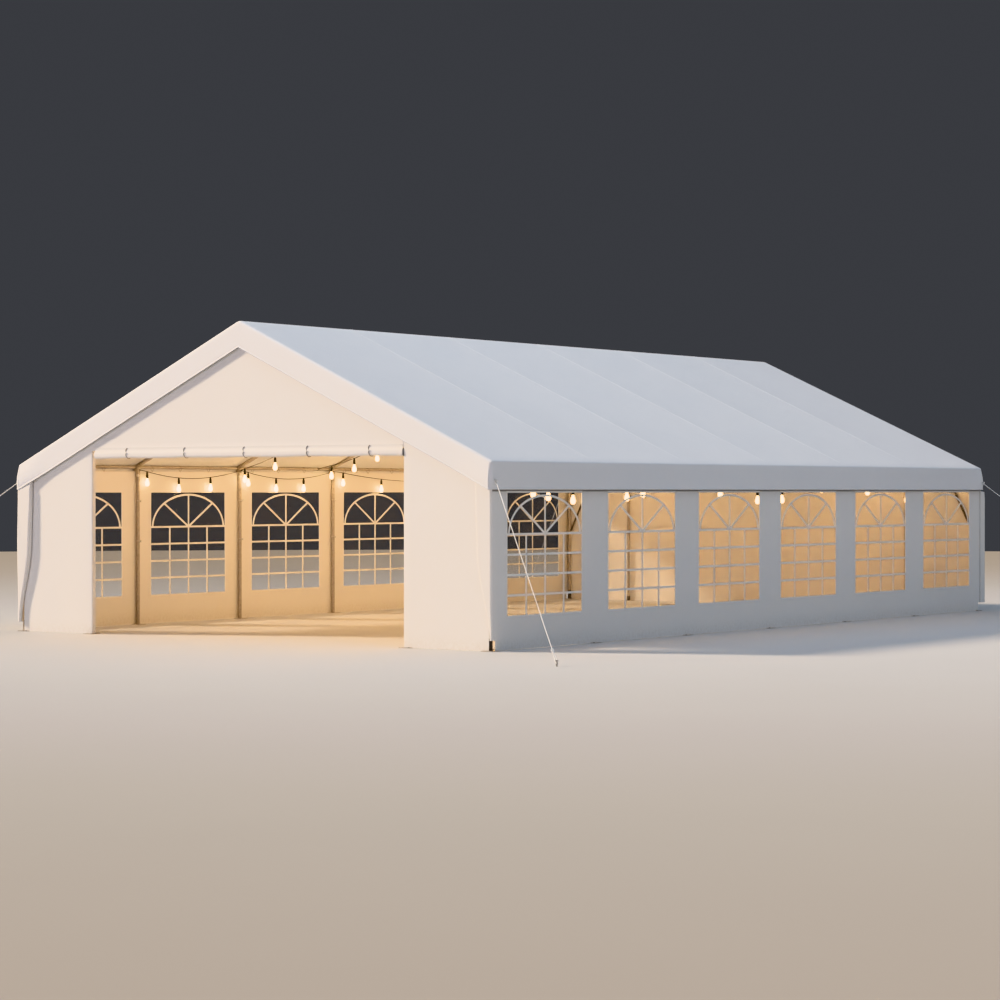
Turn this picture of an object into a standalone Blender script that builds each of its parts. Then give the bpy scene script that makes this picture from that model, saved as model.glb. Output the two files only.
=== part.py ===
"""Marquee tent: a steel frame of portal frames and rails under fabric covers.

The hall runs along Y with its doorway at -Y, X is across it and +Z is up.
The origin is on the ground, at the middle of the plan. Sizes are in metres.
"""

import math

import bmesh
import bpy
from mathutils import Matrix, Vector

# Layout of the frame
BAYS = 6
BAY_PITCH = 2.02
SPAN = 7.22
EAVE_HEIGHT = 2.09
RIDGE_HEIGHT = 3.77

# Steel tubes, plates and fittings
POST_RADIUS = 0.025
RAFTER_RADIUS = 0.021
RIDGE_TUBE_RADIUS = 0.019
EAVE_TUBE_RADIUS = 0.019
GABLE_POST_RADIUS = 0.021
BRACE_RADIUS = 0.014
FOOT_PLATE_SIZE = 0.15
FOOT_PLATE_THICKNESS = 0.006
BRACKET_WIDTH = 0.04
BRACKET_DEPTH = 0.035
SADDLE_LENGTH = 0.16
SADDLE_THICKNESS = 0.03
BRACE_HEIGHT = 1.06
BRACE_REACH = 0.64

# Fabric covers
SHEET = 0.006
FILM = 0.002
COVER_STANDOFF = 0.034
VALANCE_DROP = 0.312
RIDGE_ROUNDING = 0.10
WALL_LIFT = 0.007
FLAP_TOP_WIDTH = 0.20
FLAP_FOOT_WIDTH = 0.06
FLAP_LIFT = 0.12
FLAP_STANDOFF = 0.027
FOOT_NOTCH = 0.114

# Doorway, windows and the rolled-up door
DOORWAY_WIDTH = 4.87
DOORWAY_HEIGHT = 2.158
ROLL_HEIGHT = 0.13
ROLL_DEPTH = 0.085
ROLL_PROUD = 0.02
DOORWAY_POST_OFFSET = 0.01
WINDOW_WIDTH = 1.474
WINDOW_HEIGHT = 1.37
WINDOW_SILL = 0.376
FILM_LAP = 0.03

# Guy ropes and their stakes
ROPE_RADIUS = 0.005
ROPE_EYELET_RISE = 0.084
ROPE_EYELET_INSET = 0.07
STAKE_REACH_X = 1.92
STAKE_REACH_Y = 1.53
STAKE_RADIUS = 0.009
STAKE_HEIGHT = 0.06
STAKE_HEAD_RADIUS = 0.016
STAKE_HEAD_THICKNESS = 0.008
ROPE_END_HEIGHT = 0.035

# Strings of lights: their cables, and the lamps that hang from them
CABLE_RADIUS = 0.0045
STRING_BELOW_POST_TOP = 0.02
# The posts that an eave string is tied to, its sag between them, and its lamps in bays from the front
EAVE_STRING_POSTS = {"left": (2, 3, 4, 6, 7), "right": (1, 3, 5, 7)}
EAVE_STRING_SAGS = {"left": (0.12, 0.12, 0.15, 0.12), "right": (0.27, 0.28, 0.28)}
EAVE_LAMPS = {
    "left": (1.071, 1.374, 1.686, 2.07, 2.362, 2.658, 3.097, 3.538, 3.95, 4.419, 4.86, 5.178, 5.485, 5.792),
    "right": (0.12, 0.426, 0.574, 0.82, 1.381, 1.554, 1.86, 2.437, 2.893, 3.204, 3.726, 4.366, 4.94, 5.85)}
# Strings over the hall, by the number of the frame that each is tied to. The ends of one are tied to the
# eave rails a little ahead of its posts
CROSS_STRING_FRAMES = (3, 4, 5)
CROSS_STRING_SHIFTS = {3: 0.0, 4: -0.30, 5: 0.0}
CROSS_STRING_SAGS = {3: 0.125, 4: 0.14, 5: 0.125}
CROSS_LAMP_STARTS = {3: 0.062, 4: 0.213, 5: 0.062}
CROSS_LAMP_PITCHES = {3: 0.55, 4: 0.37, 5: 0.55}
CROSS_LAMPS_PER_SIDE = {3: 7, 4: 9, 5: 7}
SOCKET_TOP_RADIUS = 0.009
SOCKET_RADIUS = 0.017
SOCKET_LENGTH = 0.086
BULB_RADIUS = 0.03
BULB_LENGTH = 0.107
SWAG_STEPS = (0, 0.02, 0.05, 0.1, 0.17, 0.25, 0.33, 0.41, 0.5, 0.59, 0.67, 0.75, 0.83, 0.9, 0.95, 0.98)
TIE_ROUNDING = 0.1
LAMP_SIDES = 6

# Clearance between neighbouring pieces, and how far a cutter passes a face
GAP = 0.0003
CUT_MARGIN = 0.05
TUBE_SIDES = 16
THIN_TUBE_SIDES = 10
ARC_STEPS = 6

# Places worked out from the sizes above
POST_X = SPAN / 2
END_Y = BAYS * BAY_PITCH / 2
WALL_FACE_X = POST_X + POST_RADIUS + GAP
WALL_FACE_Y = END_Y + POST_RADIUS + GAP
COVER_INNER_X = WALL_FACE_X + SHEET + COVER_STANDOFF
COVER_INNER_Y = WALL_FACE_Y + SHEET + COVER_STANDOFF
COVER_X = COVER_INNER_X + SHEET
COVER_Y = COVER_INNER_Y + SHEET
PITCH = math.atan2(RIDGE_HEIGHT - EAVE_HEIGHT, COVER_X)
EAVE_TUBE_X = COVER_INNER_X - GAP - EAVE_TUBE_RADIUS
VALANCE_BOTTOM = EAVE_HEIGHT - VALANCE_DROP


def slope_height(x, inset):
    """Height of a line that lies inset below the roof sheet's outer face, at x."""
    return RIDGE_HEIGHT - inset / math.cos(PITCH) - abs(x) * math.tan(PITCH)


EAVE_TUBE_Z = slope_height(EAVE_TUBE_X, SHEET + GAP + EAVE_TUBE_RADIUS)
RIDGE_ARC_Z = RIDGE_HEIGHT - RIDGE_ROUNDING / math.cos(PITCH)
RIDGE_TUBE_Z = RIDGE_ARC_Z + RIDGE_ROUNDING - SHEET - GAP - RIDGE_TUBE_RADIUS
RAFTER_INSET = SHEET + GAP + RAFTER_RADIUS
BRACKET_TOP = EAVE_TUBE_Z - EAVE_TUBE_RADIUS - GAP
WALL_TOP = BRACKET_TOP - BRACKET_DEPTH - GAP
POST_TOP = slope_height(POST_X + POST_RADIUS, RAFTER_INSET + RAFTER_RADIUS) - GAP
EAVE_STRING_X = POST_X - POST_RADIUS - GAP - CABLE_RADIUS
STRING_HEIGHT = POST_TOP - STRING_BELOW_POST_TOP


def clear_scene():
    for obj in list(bpy.data.objects):
        bpy.data.objects.remove(obj, do_unlink=True)


def make_collection(name):
    collection = bpy.data.collections.new(name)
    bpy.context.scene.collection.children.link(collection)
    return collection


clear_scene()
parts = make_collection("marquee_tent")
cutters = make_collection("cutters")


def make_material(name, color, roughness, metallic=0.0, alpha=1.0):
    material = bpy.data.materials.new(name)
    material.use_nodes = True
    shader = material.node_tree.nodes["Principled BSDF"]
    shader.inputs["Base Color"].default_value = (*color, 1.0)
    shader.inputs["Roughness"].default_value = roughness
    shader.inputs["Metallic"].default_value = metallic
    shader.inputs["Alpha"].default_value = alpha
    material.diffuse_color = (*color, alpha)
    return material


ROOF_FABRIC = ((0.86, 0.87, 0.90), 0.55)
WALL_FABRIC = ((0.90, 0.87, 0.82), 0.60)
STEEL = ((0.55, 0.53, 0.50), 0.40, 0.85)


def add_part(name, mesh, finish):
    """Put a mesh in the scene as one sub-part with a material of its own."""
    mesh.materials.clear()
    mesh.materials.append(make_material(name + "_finish", *finish))
    obj = bpy.data.objects.new(name, mesh)
    parts.objects.link(obj)
    return obj


def mesh_from(bm, name):
    bmesh.ops.recalc_face_normals(bm, faces=bm.faces)
    mesh = bpy.data.meshes.new(name)
    bm.to_mesh(mesh)
    bm.free()
    return mesh


def shade_round(mesh):
    mesh.shade_smooth()
    mesh.set_sharp_from_angle(angle=math.radians(40))


def mesh_of_curve(name, curve):
    """Mesh of a curve's surface, with its caps welded on."""
    holder = bpy.data.objects.new(name, curve)
    cutters.objects.link(holder)
    bpy.context.view_layer.update()
    evaluated = holder.evaluated_get(bpy.context.evaluated_depsgraph_get())
    loose = bpy.data.meshes.new_from_object(evaluated)
    bpy.data.objects.remove(holder)
    bm = bmesh.new()
    bm.from_mesh(loose)
    bmesh.ops.remove_doubles(bm, verts=bm.verts, dist=0.00001)
    bpy.data.meshes.remove(loose)
    return mesh_from(bm, name)


def slab_mesh(name, outline, depth, plane):
    """Outline in the XY or the XZ plane, given a thickness of depth centred on it."""
    curve = bpy.data.curves.new(name, "CURVE")
    curve.dimensions = "2D"
    curve.fill_mode = "BOTH"
    curve.extrude = depth / 2
    spline = curve.splines.new("POLY")
    spline.points.add(len(outline) - 1)
    for point, (u, v) in zip(spline.points, outline):
        point.co = (u, v, 0, 1)
    spline.use_cyclic_u = True
    mesh = mesh_of_curve(name, curve)
    if plane == "XZ":
        mesh.transform(Matrix.Rotation(math.radians(90), 4, "X"))
    return mesh


def add_cutter(name, mesh):
    obj = bpy.data.objects.new(name, mesh)
    cutters.objects.link(obj)
    obj.hide_render = True
    obj.display_type = "WIRE"
    return obj


def combine(target, tool, operation):
    boolean = target.modifiers.new(tool.name, "BOOLEAN")
    boolean.operation = operation
    boolean.solver = "EXACT"
    boolean.object = tool


def box_mesh(name, low, high):
    bm = bmesh.new()
    bmesh.ops.create_cube(bm, size=1.0)
    size = Vector(high) - Vector(low)
    middle = (Vector(high) + Vector(low)) / 2
    bmesh.ops.scale(bm, vec=size, verts=bm.verts)
    bmesh.ops.translate(bm, vec=middle, verts=bm.verts)
    return mesh_from(bm, name)


def add_box_to(bm, low, high):
    cube = bmesh.ops.create_cube(bm, size=1.0)["verts"]
    bmesh.ops.scale(bm, vec=Vector(high) - Vector(low), verts=cube)
    bmesh.ops.translate(bm, vec=(Vector(high) + Vector(low)) / 2, verts=cube)


def tube_bmesh(start, end, radius, sides=TUBE_SIDES):
    """Round bar from start to end."""
    start = Vector(start)
    end = Vector(end)
    run = end - start
    bm = bmesh.new()
    bmesh.ops.create_cone(
        bm, cap_ends=True, segments=sides, radius1=radius, radius2=radius, depth=run.length)
    turn = run.to_track_quat("Z", "Y").to_matrix().to_4x4()
    bmesh.ops.transform(bm, matrix=Matrix.Translation((start + end) / 2) @ turn, verts=bm.verts)
    return bm


def trim(bm, point, outward):
    """Saw off what lies on the outward side of a plane, and close the cut."""
    bmesh.ops.bisect_plane(
        bm, geom=bm.verts[:] + bm.edges[:] + bm.faces[:], dist=0.000001,
        plane_co=point, plane_no=outward, clear_outer=True)
    rim = [edge for edge in bm.edges if edge.is_boundary]
    bmesh.ops.holes_fill(bm, edges=rim, sides=0)


def arc_points(centre, radius, start_angle, end_angle, steps=ARC_STEPS):
    points = []
    for step in range(steps + 1):
        angle = start_angle + (end_angle - start_angle) * step / steps
        points.append((centre[0] + radius * math.cos(angle), centre[1] + radius * math.sin(angle)))
    return points


def ridge_arc(inset):
    """Round top of the roof's section, from its right tangent point to its left one."""
    return arc_points(
        (0, RIDGE_ARC_Z), RIDGE_ROUNDING - inset,
        math.pi / 2 - PITCH, math.pi / 2 + PITCH)


def roof_section(inset, bottom):
    """Section of the covered roof in X and Z, inset from the sheet's outer face."""
    eave_radius = SHEET + GAP + EAVE_TUBE_RADIUS - inset
    right = [(COVER_X - inset, bottom)]
    right += arc_points((EAVE_TUBE_X, EAVE_TUBE_Z), eave_radius, 0, math.pi / 2 - PITCH, 4)
    left = [(-x, z) for x, z in reversed(right)]
    return right + ridge_arc(inset) + left


def gable_section(half_width, bottom):
    """Wall outline in X and Z that reaches up to the roof sheet's underside."""
    inset = SHEET + GAP
    top = slope_height(half_width, inset)
    return [(half_width, bottom), (half_width, top)] + ridge_arc(inset) + [
        (-half_width, top), (-half_width, bottom)]


def frame_y(number):
    return (number - 1 - BAYS / 2) * BAY_PITCH


def sides():
    return (("left", -1), ("right", 1))


def ends():
    return (("front", -1), ("rear", 1))


def add_post(name, side, y):
    """Round post on a square foot plate, with the bracket that carries the eave rail."""
    x = side * POST_X
    post = add_part(name, mesh_from(tube_bmesh(
        (x, y, FOOT_PLATE_THICKNESS / 2), (x, y, POST_TOP), POST_RADIUS), name), STEEL)
    shade_round(post.data)
    half = FOOT_PLATE_SIZE / 2
    reach = EAVE_TUBE_X + EAVE_TUBE_RADIUS * 0.5
    bm = bmesh.new()
    add_box_to(bm, (x - half, y - half, 0), (x + half, y + half, FOOT_PLATE_THICKNESS))
    inner, outer = sorted((side * (POST_X - POST_RADIUS * 0.5), side * reach))
    add_box_to(
        bm, (inner, y - BRACKET_WIDTH / 2, BRACKET_TOP - BRACKET_DEPTH),
        (outer, y + BRACKET_WIDTH / 2, BRACKET_TOP))
    combine(post, add_cutter(name + "_plates", mesh_from(bm, name + "_plates")), "UNION")


def add_rafter_pair(name, y):
    """Two sloping tubes joined under the ridge rail by a flat saddle."""
    bm_all = bmesh.new()
    end_x = EAVE_TUBE_X - EAVE_TUBE_RADIUS - GAP
    for side in (-1, 1):
        bm = tube_bmesh(
            (0, y, slope_height(0, RAFTER_INSET)),
            (side * COVER_X, y, slope_height(COVER_X, RAFTER_INSET)), RAFTER_RADIUS)
        trim(bm, (side * end_x, y, 0), (side, 0, 0))
        trim(bm, (side * RIDGE_ROUNDING * math.sin(PITCH), y, 0), (-side, 0, 0))
        mesh = mesh_from(bm, name + "_half")
        bm_all.from_mesh(mesh)
        bpy.data.meshes.remove(mesh)
    pair = add_part(name, mesh_from(bm_all, name), STEEL)
    shade_round(pair.data)
    top = RIDGE_TUBE_Z - RIDGE_TUBE_RADIUS - GAP
    saddle = add_cutter(name + "_saddle", box_mesh(
        name + "_saddle",
        (-SADDLE_LENGTH / 2, y - RAFTER_RADIUS * 0.6, top - SADDLE_THICKNESS),
        (SADDLE_LENGTH / 2, y + RAFTER_RADIUS * 0.6, top)))
    combine(pair, saddle, "UNION")


def add_rail(name, x, z, radius):
    reach = END_Y + POST_RADIUS
    rail = add_part(name, mesh_from(tube_bmesh((x, -reach, z), (x, reach, z), radius), name), STEEL)
    shade_round(rail.data)


def add_gable_post(name, x, y):
    """Upright beside the doorway, cut to the rafter's underside."""
    bm = tube_bmesh((x, y, FOOT_PLATE_THICKNESS / 2), (x, y, RIDGE_HEIGHT), GABLE_POST_RADIUS)
    side = math.copysign(1, x)
    normal = (side * math.sin(PITCH), 0, math.cos(PITCH))
    under_rafter = slope_height(x, RAFTER_INSET + RAFTER_RADIUS + GAP)
    trim(bm, (x, y, under_rafter), normal)
    post = add_part(name, mesh_from(bm, name), STEEL)
    shade_round(post.data)
    half = FOOT_PLATE_SIZE / 2
    plate = add_cutter(name + "_plate", box_mesh(
        name + "_plate", (x - half, y - half, 0), (x + half, y + half, FOOT_PLATE_THICKNESS)))
    combine(post, plate, "UNION")


def add_brace(name, side, y):
    """Knee brace from a corner post up to the end rafter."""
    foot = Vector((side * POST_X, y, BRACE_HEIGHT))
    head_x = side * (POST_X - BRACE_REACH)
    head = Vector((head_x, y, slope_height(head_x, RAFTER_INSET)))
    bm = tube_bmesh(foot, head, BRACE_RADIUS, THIN_TUBE_SIDES)
    trim(bm, (side * (POST_X - POST_RADIUS - GAP), y, 0), (side, 0, 0))
    under_rafter = slope_height(head_x, RAFTER_INSET + RAFTER_RADIUS + GAP)
    trim(bm, (head_x, y, under_rafter), (side * math.sin(PITCH), 0, math.cos(PITCH)))
    brace = add_part(name, mesh_from(bm, name), STEEL)
    shade_round(brace.data)


def add_roof_cover():
    """One sheet over both slopes, folded down all round as a valance."""
    cover = add_part("roof_cover", slab_mesh(
        "roof_cover", roof_section(0, VALANCE_BOTTOM), 2 * COVER_Y, "XZ"), ROOF_FABRIC)
    combine(cover, add_cutter("roof_space", slab_mesh(
        "roof_space", roof_section(SHEET, VALANCE_BOTTOM - CUT_MARGIN),
        2 * COVER_INNER_Y, "XZ")), "DIFFERENCE")
    foot = VALANCE_BOTTOM - CUT_MARGIN
    corner = slope_height(COVER_INNER_X, 0) - VALANCE_DROP
    below_gable = [
        (COVER_INNER_X, foot), (COVER_INNER_X, corner), (0, RIDGE_HEIGHT - VALANCE_DROP),
        (-COVER_INNER_X, corner), (-COVER_INNER_X, foot)]
    combine(cover, add_cutter("below_gable_valance", slab_mesh(
        "below_gable_valance", below_gable, 2 * (COVER_Y + CUT_MARGIN), "XZ")), "DIFFERENCE")


def move_mesh(mesh, offset):
    mesh.transform(Matrix.Translation(offset))
    return mesh


def add_gable_walls():
    """Front wall with the doorway cut through it, and the plain rear wall."""
    half_width = POST_X + POST_RADIUS
    middle_y = WALL_FACE_Y + SHEET / 2
    door_x = DOORWAY_WIDTH / 2
    door_z = DOORWAY_HEIGHT + ROLL_HEIGHT + GAP
    doorway = [(-door_x, WALL_LIFT), (-door_x, door_z), (door_x, door_z), (door_x, WALL_LIFT)]
    front = gable_section(half_width, WALL_LIFT) + doorway
    add_part("front_wall", move_mesh(
        slab_mesh("front_wall", front, SHEET, "XZ"), (0, -middle_y, 0)), WALL_FABRIC)
    rear = gable_section(half_width, WALL_LIFT)
    add_part("rear_wall", move_mesh(
        slab_mesh("rear_wall", rear, SHEET, "XZ"), (0, middle_y, 0)), WALL_FABRIC)


def add_side_wall(name, side):
    """Long wall whose ends wrap loosely round the corners as tapered flaps."""
    inner_y = WALL_FACE_Y + SHEET + FLAP_STANDOFF
    outer_y = inner_y + SHEET
    outer_x = WALL_FACE_X + SHEET
    flap_x = outer_x - FLAP_TOP_WIDTH
    plan = [
        (flap_x, -outer_y), (outer_x, -outer_y), (outer_x, outer_y), (flap_x, outer_y),
        (flap_x, inner_y), (WALL_FACE_X, inner_y), (WALL_FACE_X, -inner_y), (flap_x, -inner_y)]
    height = WALL_TOP - WALL_LIFT
    plan = [(side * x, y) for x, y in plan]
    wall = add_part(name, move_mesh(
        slab_mesh(name, plan, height, "XY"), (0, 0, WALL_LIFT + height / 2)), WALL_FABRIC)
    for bay in range(1, BAYS + 1):
        middle = frame_y(bay) + BAY_PITCH / 2
        near, far = sorted((side * (WALL_FACE_X - CUT_MARGIN), side * (outer_x + CUT_MARGIN)))
        combine(wall, add_cutter(f"{name}_window_{bay}", box_mesh(
            f"{name}_window_{bay}",
            (near, middle - WINDOW_WIDTH / 2, WINDOW_SILL),
            (far, middle + WINDOW_WIDTH / 2, WINDOW_SILL + WINDOW_HEIGHT))), "DIFFERENCE")
    taper = [
        (side * (outer_x - FLAP_FOOT_WIDTH), WALL_LIFT - CUT_MARGIN),
        (side * (outer_x - FLAP_FOOT_WIDTH), FLAP_LIFT),
        (side * (outer_x - FLAP_TOP_WIDTH), WALL_TOP + CUT_MARGIN),
        (side * (outer_x - FLAP_TOP_WIDTH - CUT_MARGIN), WALL_TOP + CUT_MARGIN),
        (side * (outer_x - FLAP_TOP_WIDTH - CUT_MARGIN), WALL_LIFT - CUT_MARGIN)]
    combine(wall, add_cutter(name + "_flap_taper", slab_mesh(
        name + "_flap_taper", taper, 2 * (outer_y + CUT_MARGIN), "XZ")), "DIFFERENCE")
    for end, direction in ends():
        near, far = sorted((side * flap_x, side * (outer_x + CUT_MARGIN)))
        low, high = sorted((direction * (outer_y - FOOT_NOTCH), direction * (outer_y + CUT_MARGIN)))
        combine(wall, add_cutter(f"{name}_{end}_foot_notch", box_mesh(
            f"{name}_{end}_foot_notch", (near, low, WALL_LIFT - CUT_MARGIN),
            (far, high, FLAP_LIFT))), "DIFFERENCE")


def add_window_film(name, side):
    """Clear film over the six windows of one wall."""
    reach_y = (BAYS - 1) * BAY_PITCH / 2 + WINDOW_WIDTH / 2 + FILM_LAP
    inner = WALL_FACE_X + SHEET + GAP
    low_x, high_x = sorted((side * inner, side * (inner + FILM)))
    add_part(name, box_mesh(
        name, (low_x, -reach_y, WINDOW_SILL - FILM_LAP),
        (high_x, reach_y, WINDOW_SILL + WINDOW_HEIGHT + FILM_LAP)),
        ((0.75, 0.80, 0.82), 0.08, 0.0, 0.3))


def add_door_roll():
    """Door curtain rolled up between the jambs, in the head of the doorway."""
    y = -(WALL_FACE_Y + SHEET + ROLL_PROUD - ROLL_DEPTH / 2)
    end_x = DOORWAY_WIDTH / 2 - GAP
    bm = tube_bmesh((-end_x, 0, 0), (end_x, 0, 0), ROLL_HEIGHT / 2)
    bmesh.ops.scale(bm, vec=(1, ROLL_DEPTH / ROLL_HEIGHT, 1), verts=bm.verts)
    bmesh.ops.translate(bm, vec=(0, y, DOORWAY_HEIGHT + ROLL_HEIGHT / 2), verts=bm.verts)
    roll = add_part("door_roll", mesh_from(bm, "door_roll"), WALL_FABRIC)
    shade_round(roll.data)


def add_guy(side_name, side, end_name, end):
    """Taut rope from the valance's corner eyelet to a steel stake."""
    eyelet_z = VALANCE_BOTTOM + ROPE_EYELET_RISE
    eyelet = Vector((side * COVER_X, end * (COVER_Y - ROPE_EYELET_INSET), eyelet_z))
    stake_x = side * (COVER_X + STAKE_REACH_X)
    stake_y = end * (COVER_Y + STAKE_REACH_Y)
    tie = Vector((stake_x, stake_y, ROPE_END_HEIGHT))
    run = (tie - eyelet).normalized()
    bm = tube_bmesh(eyelet - run * CUT_MARGIN, tie, ROPE_RADIUS, THIN_TUBE_SIDES)
    trim(bm, (side * (COVER_X + GAP), 0, 0), (-side, 0, 0))
    level = Vector((run.x, run.y, 0)).normalized()
    trim(bm, tie - level * (STAKE_RADIUS + GAP), level)
    rope = add_part(f"guy_rope_{end_name}_{side_name}", mesh_from(bm, "guy_rope"),
                    ((0.88, 0.86, 0.82), 0.8))
    shade_round(rope.data)
    name = f"ground_stake_{end_name}_{side_name}"
    stake = add_part(name, mesh_from(tube_bmesh(
        (stake_x, stake_y, 0), (stake_x, stake_y, STAKE_HEIGHT), STAKE_RADIUS), name), STEEL)
    shade_round(stake.data)
    head = add_cutter(name + "_head", mesh_from(tube_bmesh(
        (stake_x, stake_y, STAKE_HEIGHT - STAKE_HEAD_THICKNESS / 2),
        (stake_x, stake_y, STAKE_HEIGHT + STAKE_HEAD_THICKNESS / 2),
        STAKE_HEAD_RADIUS), name + "_head"))
    combine(stake, head, "UNION")


def swag_drop(share, sag):
    """How far a cable hangs under the line between its two ties, with round bends at them."""
    shape = 4 * share * (1 - share)
    return sag * (math.hypot(shape, TIE_ROUNDING) - TIE_ROUNDING)


def swag_point(start, end, share, sag):
    place = start.lerp(end, share)
    place.z -= swag_drop(share, sag)
    return place


def cable_mesh(name, ties, sags):
    """Cable hung in one swag between each tie and the next."""
    points = []
    for start, end, sag in zip(ties, ties[1:], sags):
        points += [swag_point(start, end, share, sag) for share in SWAG_STEPS]
    points.append(ties[-1])
    curve = bpy.data.curves.new(name, "CURVE")
    curve.dimensions = "3D"
    curve.bevel_depth = CABLE_RADIUS
    curve.bevel_resolution = 2
    curve.use_fill_caps = True
    spline = curve.splines.new("POLY")
    spline.points.add(len(points) - 1)
    for point, place in zip(spline.points, points):
        point.co = (*place, 1)
    return mesh_of_curve(name, curve)


def lamps_mesh(name, places):
    """Sockets with bulbs, each turned about a vertical axis under its place on the cable."""
    profile = (
        (SOCKET_TOP_RADIUS, 0), (SOCKET_RADIUS, -SOCKET_LENGTH),
        (BULB_RADIUS * 0.6, -SOCKET_LENGTH - BULB_LENGTH * 0.25),
        (BULB_RADIUS, -SOCKET_LENGTH - BULB_LENGTH * 0.6),
        (BULB_RADIUS * 0.5, -SOCKET_LENGTH - BULB_LENGTH))
    bm = bmesh.new()
    for place in places:
        rings = []
        for radius, height in profile:
            circle = bmesh.ops.create_circle(bm, segments=LAMP_SIDES, radius=radius)["verts"]
            bmesh.ops.translate(bm, vec=place + Vector((0, 0, height)), verts=circle)
            rings.append(circle)
        for upper, lower in zip(rings, rings[1:]):
            loops = [edge for ring in (upper, lower) for vert in ring for edge in vert.link_edges
                     if edge.other_vert(vert) in ring]
            bmesh.ops.bridge_loops(bm, edges=list(dict.fromkeys(loops)))
        for ring in (rings[0], rings[-1]):
            bm.faces.new(ring)
    return mesh_from(bm, name)


def add_light_string(name, ties, sags, lamp_places):
    cable = add_part(name, cable_mesh(name, ties, sags), ((0.05, 0.04, 0.03), 0.5))
    shade_round(cable.data)
    combine(cable, add_cutter(name + "_lamps", lamps_mesh(name + "_lamps", lamp_places)), "UNION")


def add_eave_lights(side_name, side):
    """String along one eave, tied to the inner faces of some of the posts."""
    ties = [Vector((side * EAVE_STRING_X, frame_y(number), STRING_HEIGHT))
            for number in EAVE_STRING_POSTS[side_name]]
    sags = EAVE_STRING_SAGS[side_name]
    lamps = []
    for bays in EAVE_LAMPS[side_name]:
        y = bays * BAY_PITCH - END_Y
        for start, end, sag in zip(ties, ties[1:], sags):
            if start.y < y < end.y:
                lamps.append(swag_point(start, end, (y - start.y) / (end.y - start.y), sag))
    add_light_string(f"eave_lights_{side_name}", ties, sags, lamps)


def add_cross_lights(number):
    """String over the hall, tied at its ends, to the middles of a pair of rafters and to the ridge."""
    y = frame_y(number)
    shift = CROSS_STRING_SHIFTS[number]
    sag = CROSS_STRING_SAGS[number]
    if shift:
        end_x = EAVE_TUBE_X - EAVE_TUBE_RADIUS - GAP - CABLE_RADIUS
        end_z = EAVE_TUBE_Z
    else:
        end_x = EAVE_STRING_X
        end_z = STRING_HEIGHT + 2 * CABLE_RADIUS + GAP
    middle_x = end_x / 2
    middle_z = slope_height(middle_x, RAFTER_INSET + RAFTER_RADIUS + GAP + CABLE_RADIUS)
    ridge_z = RIDGE_TUBE_Z - RIDGE_TUBE_RADIUS - 2 * GAP - SADDLE_THICKNESS - CABLE_RADIUS
    half = [Vector((end_x, y + shift, end_z)), Vector((middle_x, y, middle_z))]
    ridge = Vector((0, y, ridge_z))
    ties = [Vector((-tie.x, tie.y, tie.z)) for tie in half] + [ridge] + half[::-1]
    lamps = []
    for lamp in range(CROSS_LAMPS_PER_SIDE[number]):
        x = end_x - CROSS_LAMP_STARTS[number] - lamp * CROSS_LAMP_PITCHES[number]
        outer, inner = (half[0], half[1]) if x > middle_x else (half[1], ridge)
        place = swag_point(outer, inner, (outer.x - x) / (outer.x - inner.x), sag)
        lamps += [place, Vector((-place.x, place.y, place.z))]
    add_light_string(f"cross_lights_{number}", ties, [sag] * 4, lamps)


for number in range(1, BAYS + 2):
    for side_name, side in sides():
        add_post(f"post_{side_name}_{number}", side, frame_y(number))
    add_rafter_pair(f"rafter_pair_{number}", frame_y(number))
add_rail("ridge_rail", 0, RIDGE_TUBE_Z, RIDGE_TUBE_RADIUS)
add_roof_cover()
add_gable_walls()
add_door_roll()
for side_name, side in sides():
    add_rail(f"eave_rail_{side_name}", side * EAVE_TUBE_X, EAVE_TUBE_Z, EAVE_TUBE_RADIUS)
    add_side_wall(f"side_wall_{side_name}", side)
    add_window_film(f"window_film_{side_name}", side)
    add_eave_lights(side_name, side)
    for end_name, end in ends():
        gable_post_x = side * (DOORWAY_WIDTH / 2 + DOORWAY_POST_OFFSET + GABLE_POST_RADIUS)
        add_gable_post(f"gable_post_{end_name}_{side_name}", gable_post_x, end * END_Y)
        add_brace(f"knee_brace_{end_name}_{side_name}", side, end * END_Y)
        add_guy(side_name, side, end_name, end)
for number in CROSS_STRING_FRAMES:
    add_cross_lights(number)
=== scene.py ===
from math import atan, ceil, copysign, cos, dist, exp, hypot, pi, radians, sin, tau

import bmesh
import bpy
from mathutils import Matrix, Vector, noise


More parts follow.
